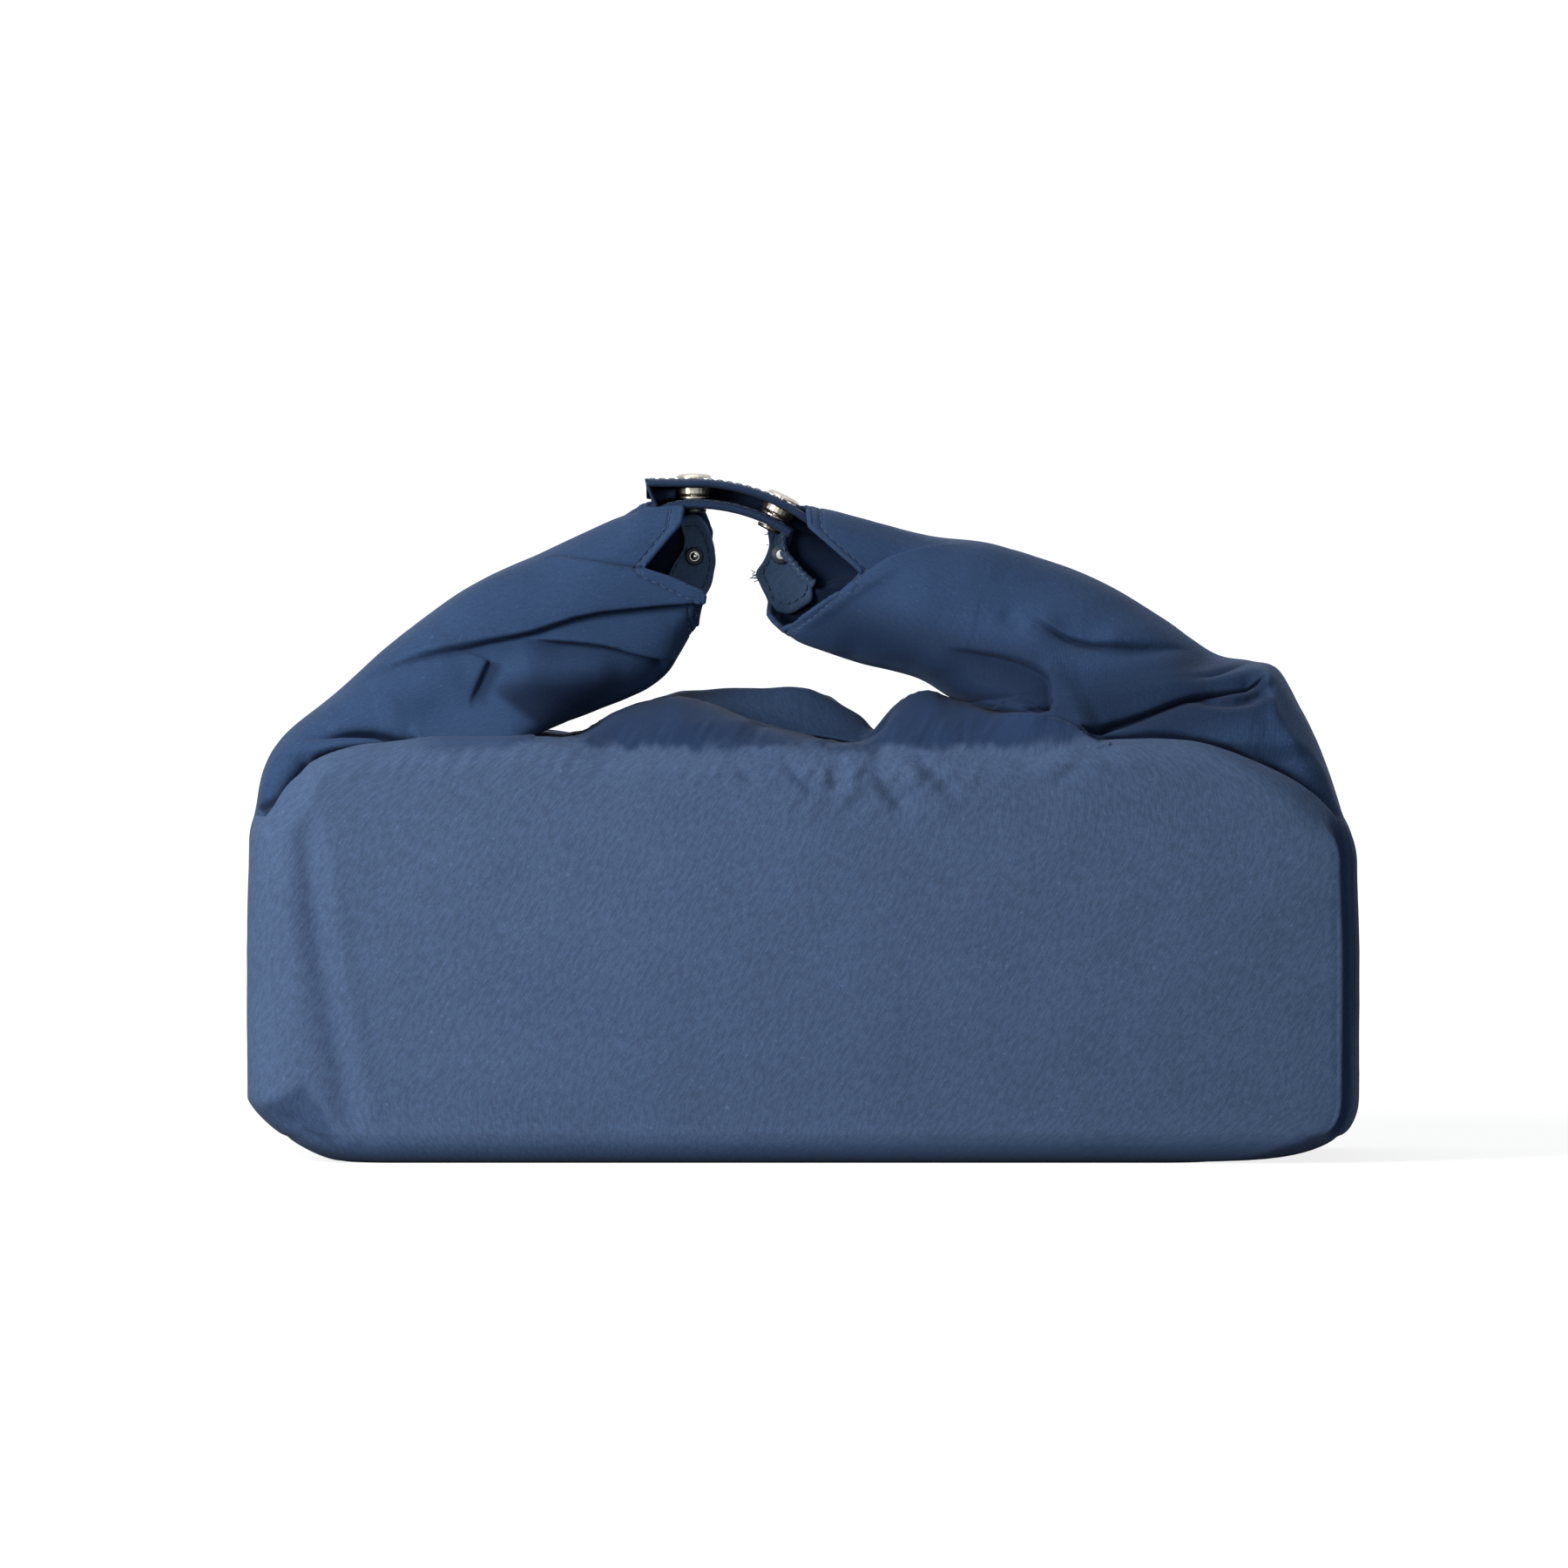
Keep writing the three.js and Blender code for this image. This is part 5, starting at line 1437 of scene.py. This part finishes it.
def dress_hem(side, outline, cloth, seed):
    """A folded hem: a plate with a rounded, slightly wavy outline, puffed faces and stitches."""
    closed = np.array(outline + outline[:1], float)
    loop = resample(np.stack([closed[:, 0], 0 * closed[:, 0], closed[:, 1]], 1), 0.6)[:-1]
    kernel = np.array([1, 2, 3, 3, 3, 2, 1]) / 15
    for k in (0, 2):
        padded = np.concatenate([loop[-3:, k], loop[:, k], loop[:3, k]])
        loop[:, k] = np.convolve(padded, kernel, "valid")
    middle = loop.mean(0)
    half = HEM_THICK / 2
    layers = []
    for share, y in HEM_LAYERS:
        ring = middle + (loop - middle) * share
        ring[:, 1] = HEM_SET_IN + half + y * half
        layers.append(ring)
    P = np.stack(layers)
    P[..., 1] += 0.22 * noise(P, (4, 4, 4), seed)
    from_middle = np.linalg.norm(P - middle, axis=2)
    P[..., 0] += 0.3 * noise(P, (4, 9, 4), seed + 1) * smooth(5, 10, from_middle)
    plate = closed_rings(side + "_hem_cloth", P, cloth, P.reshape(-1, 3)[:, [0, 2]])
    put(plate, side + "_horn", "hem", side + "_mouth_hem")
    seam = middle + (loop - middle) * 0.76
    seam[:, 1] = HEM_SET_IN + 0.15
    sewn = stitch_paths(np.concatenate([seam, seam[:1]]), (0, -1, 0), 2.0, 0.7)
    put(strands(side + "_hem_stitches", sewn, 0.18, THREAD), side + "_horn", "hem")


dress_hem("left", LEFT_HEM, LEFT_HEM_PAINTED_LIGHT_CLOTH, 101)
dress_hem("right", RIGHT_HEM, HEM_CLOTH, 105)

# the gathered edge of the right mouth, with its stitches
edge = [(-2, 15.4, 183.6), (-6.2, 14.6, 178.4), (-5.2, 14.6, 173.6), (0.2, 14.6, 167.4), (3.0, 15.2, 165.0)]
edge = resample(edge, 0.35)
edge[:, 0] += 0.35 * np.sin(np.arange(len(edge)) * 1.15) * np.abs(noise(edge, (3, 3, 3), 15))
thick = 1.25 + 0.2 * noise(edge, (1.4, 1.4, 1.4), 16)
put(strands("right_mouth_edge", [edge], thick, HEM_CLOTH, 14), "right_horn", "hem")
sewn = stitch_paths(edge + (0, -1.2, 0), (0, -1, 0), 1.5, 0.5)
put(strands("right_mouth_stitches", sewn, 0.17, PALE_THREAD), "right_horn", "hem")


def frays(seed, begin, end, outward, count, length):
    """Loose yarn ends along an edge."""
    rng = np.random.default_rng(seed)
    begin, end = np.array(begin, float), np.array(end, float)
    paths = []
    for _ in range(count):
        base = begin + (end - begin) * rng.uniform()
        out = np.array(outward, float) + rng.normal(0, 0.3, 3)
        out /= np.linalg.norm(out)
        s = np.linspace(0, 1, 5)[:, None]
        paths.append(base + (out * s + rng.normal(0, 0.35, 3) * s**2) * length * rng.uniform(0.4, 1.2))
    return paths


loose = frays(7, (-13.8, 17, 168.4), (-13.0, 17, 166), (-1, 0, 0.1), 9, 1.8)
loose += frays(8, (-10, 16.4, 181), (-10, 16.4, 176), (-1, 0, 0.3), 6, 0.9)
put(strands("right_hem_frays", loose, 0.13, THREAD, 5), "right_horn", "hem")

# CAD pieces that keep their shape
for name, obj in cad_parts.items():
    looks = {"base_board": BOARD, "left_hem_stud": STUD, "right_hem_cap": CAP}.get(name)
    if looks is None and name.endswith(("_stud", "_cap", "_socket")):
        looks = SNAP
    if looks is None and name.endswith("_post"):
        looks = DARK_SNAP
    if looks is not None:
        obj.data.materials.clear()
        obj.data.materials.append(looks)

# Floor, light and camera
bpy.ops.mesh.primitive_plane_add(size=8)
floor = bpy.context.object
floor.name = "floor"
pale, tree, shader = new_material("pale_floor", (0.4, 0.4, 0.4), 0.9)
shader.inputs["Specular IOR Level"].default_value = 0.0
seen = tree.nodes.new("ShaderNodeLightPath")
shader.inputs["Emission Color"].default_value = (1, 1, 1, 1)
place = tree.nodes.new("ShaderNodeTexCoord")
away = tree.nodes.new("ShaderNodeVectorMath")
away.operation = "LENGTH"
tree.links.new(place.outputs["Object"], away.inputs[0])
fade = ramp(tree, away.outputs["Value"], 0.3, 1.0, 0.84, 1.1)
glow = calculate(tree, "MULTIPLY", seen.outputs["Is Camera Ray"], fade)
tree.links.new(glow, shader.inputs["Emission Strength"])
floor.data.materials.append(pale)

world = bpy.data.worlds.new("studio")
bpy.context.scene.world = world
world.use_nodes = True
tree = world.node_tree
background = tree.nodes["Background"]
background.inputs["Color"].default_value = (0.93, 0.96, 1.0, 1)
seen = tree.nodes.new("ShaderNodeLightPath")
either = calculate(tree, "MAXIMUM", seen.outputs["Is Camera Ray"], seen.outputs["Is Glossy Ray"])
tree.links.new(ramp(tree, either, 0, 1, 0.16, 1.15), background.inputs["Strength"])


def lamp(name, place, target, size, power):
    data = bpy.data.lights.new(name, "AREA")
    data.size = size
    data.energy = power
    made = bpy.data.objects.new(name, data)
    bpy.context.collection.objects.link(made)
    made.location = place
    made.rotation_euler = (Vector(target) - Vector(place)).to_track_quat("-Z", "Y").to_euler()


lamp("key", (-0.64, -0.72, 0.38), (0, 0, 0.09), 0.34, 8.9)
lamp("fill", (0.3, -1.7, 0.3), (0, 0, 0.08), 1.0, 1.6)
lamp("top", (-0.2, 0.1, 1.3), (0, 0, 0.1), 0.7, 3)

camera = bpy.data.objects.new("camera", bpy.data.cameras.new("camera"))
bpy.context.collection.objects.link(camera)
aim = Vector((-0.0055, 0, 0.1075))
distance, elevation = 8.0, math.radians(1.5)
front_of_bag, seen_width, sensor = 0.05, 0.45, 36
camera.location = aim + Vector((0, -math.cos(elevation), math.sin(elevation))) * distance
camera.rotation_euler = (aim - camera.location).to_track_quat("-Z", "Y").to_euler()
camera.data.sensor_width = sensor
camera.data.lens = sensor * (distance - front_of_bag) / seen_width
camera.data.clip_end = 40
bpy.context.scene.camera = camera
bpy.context.scene.view_settings.view_transform = "Standard"
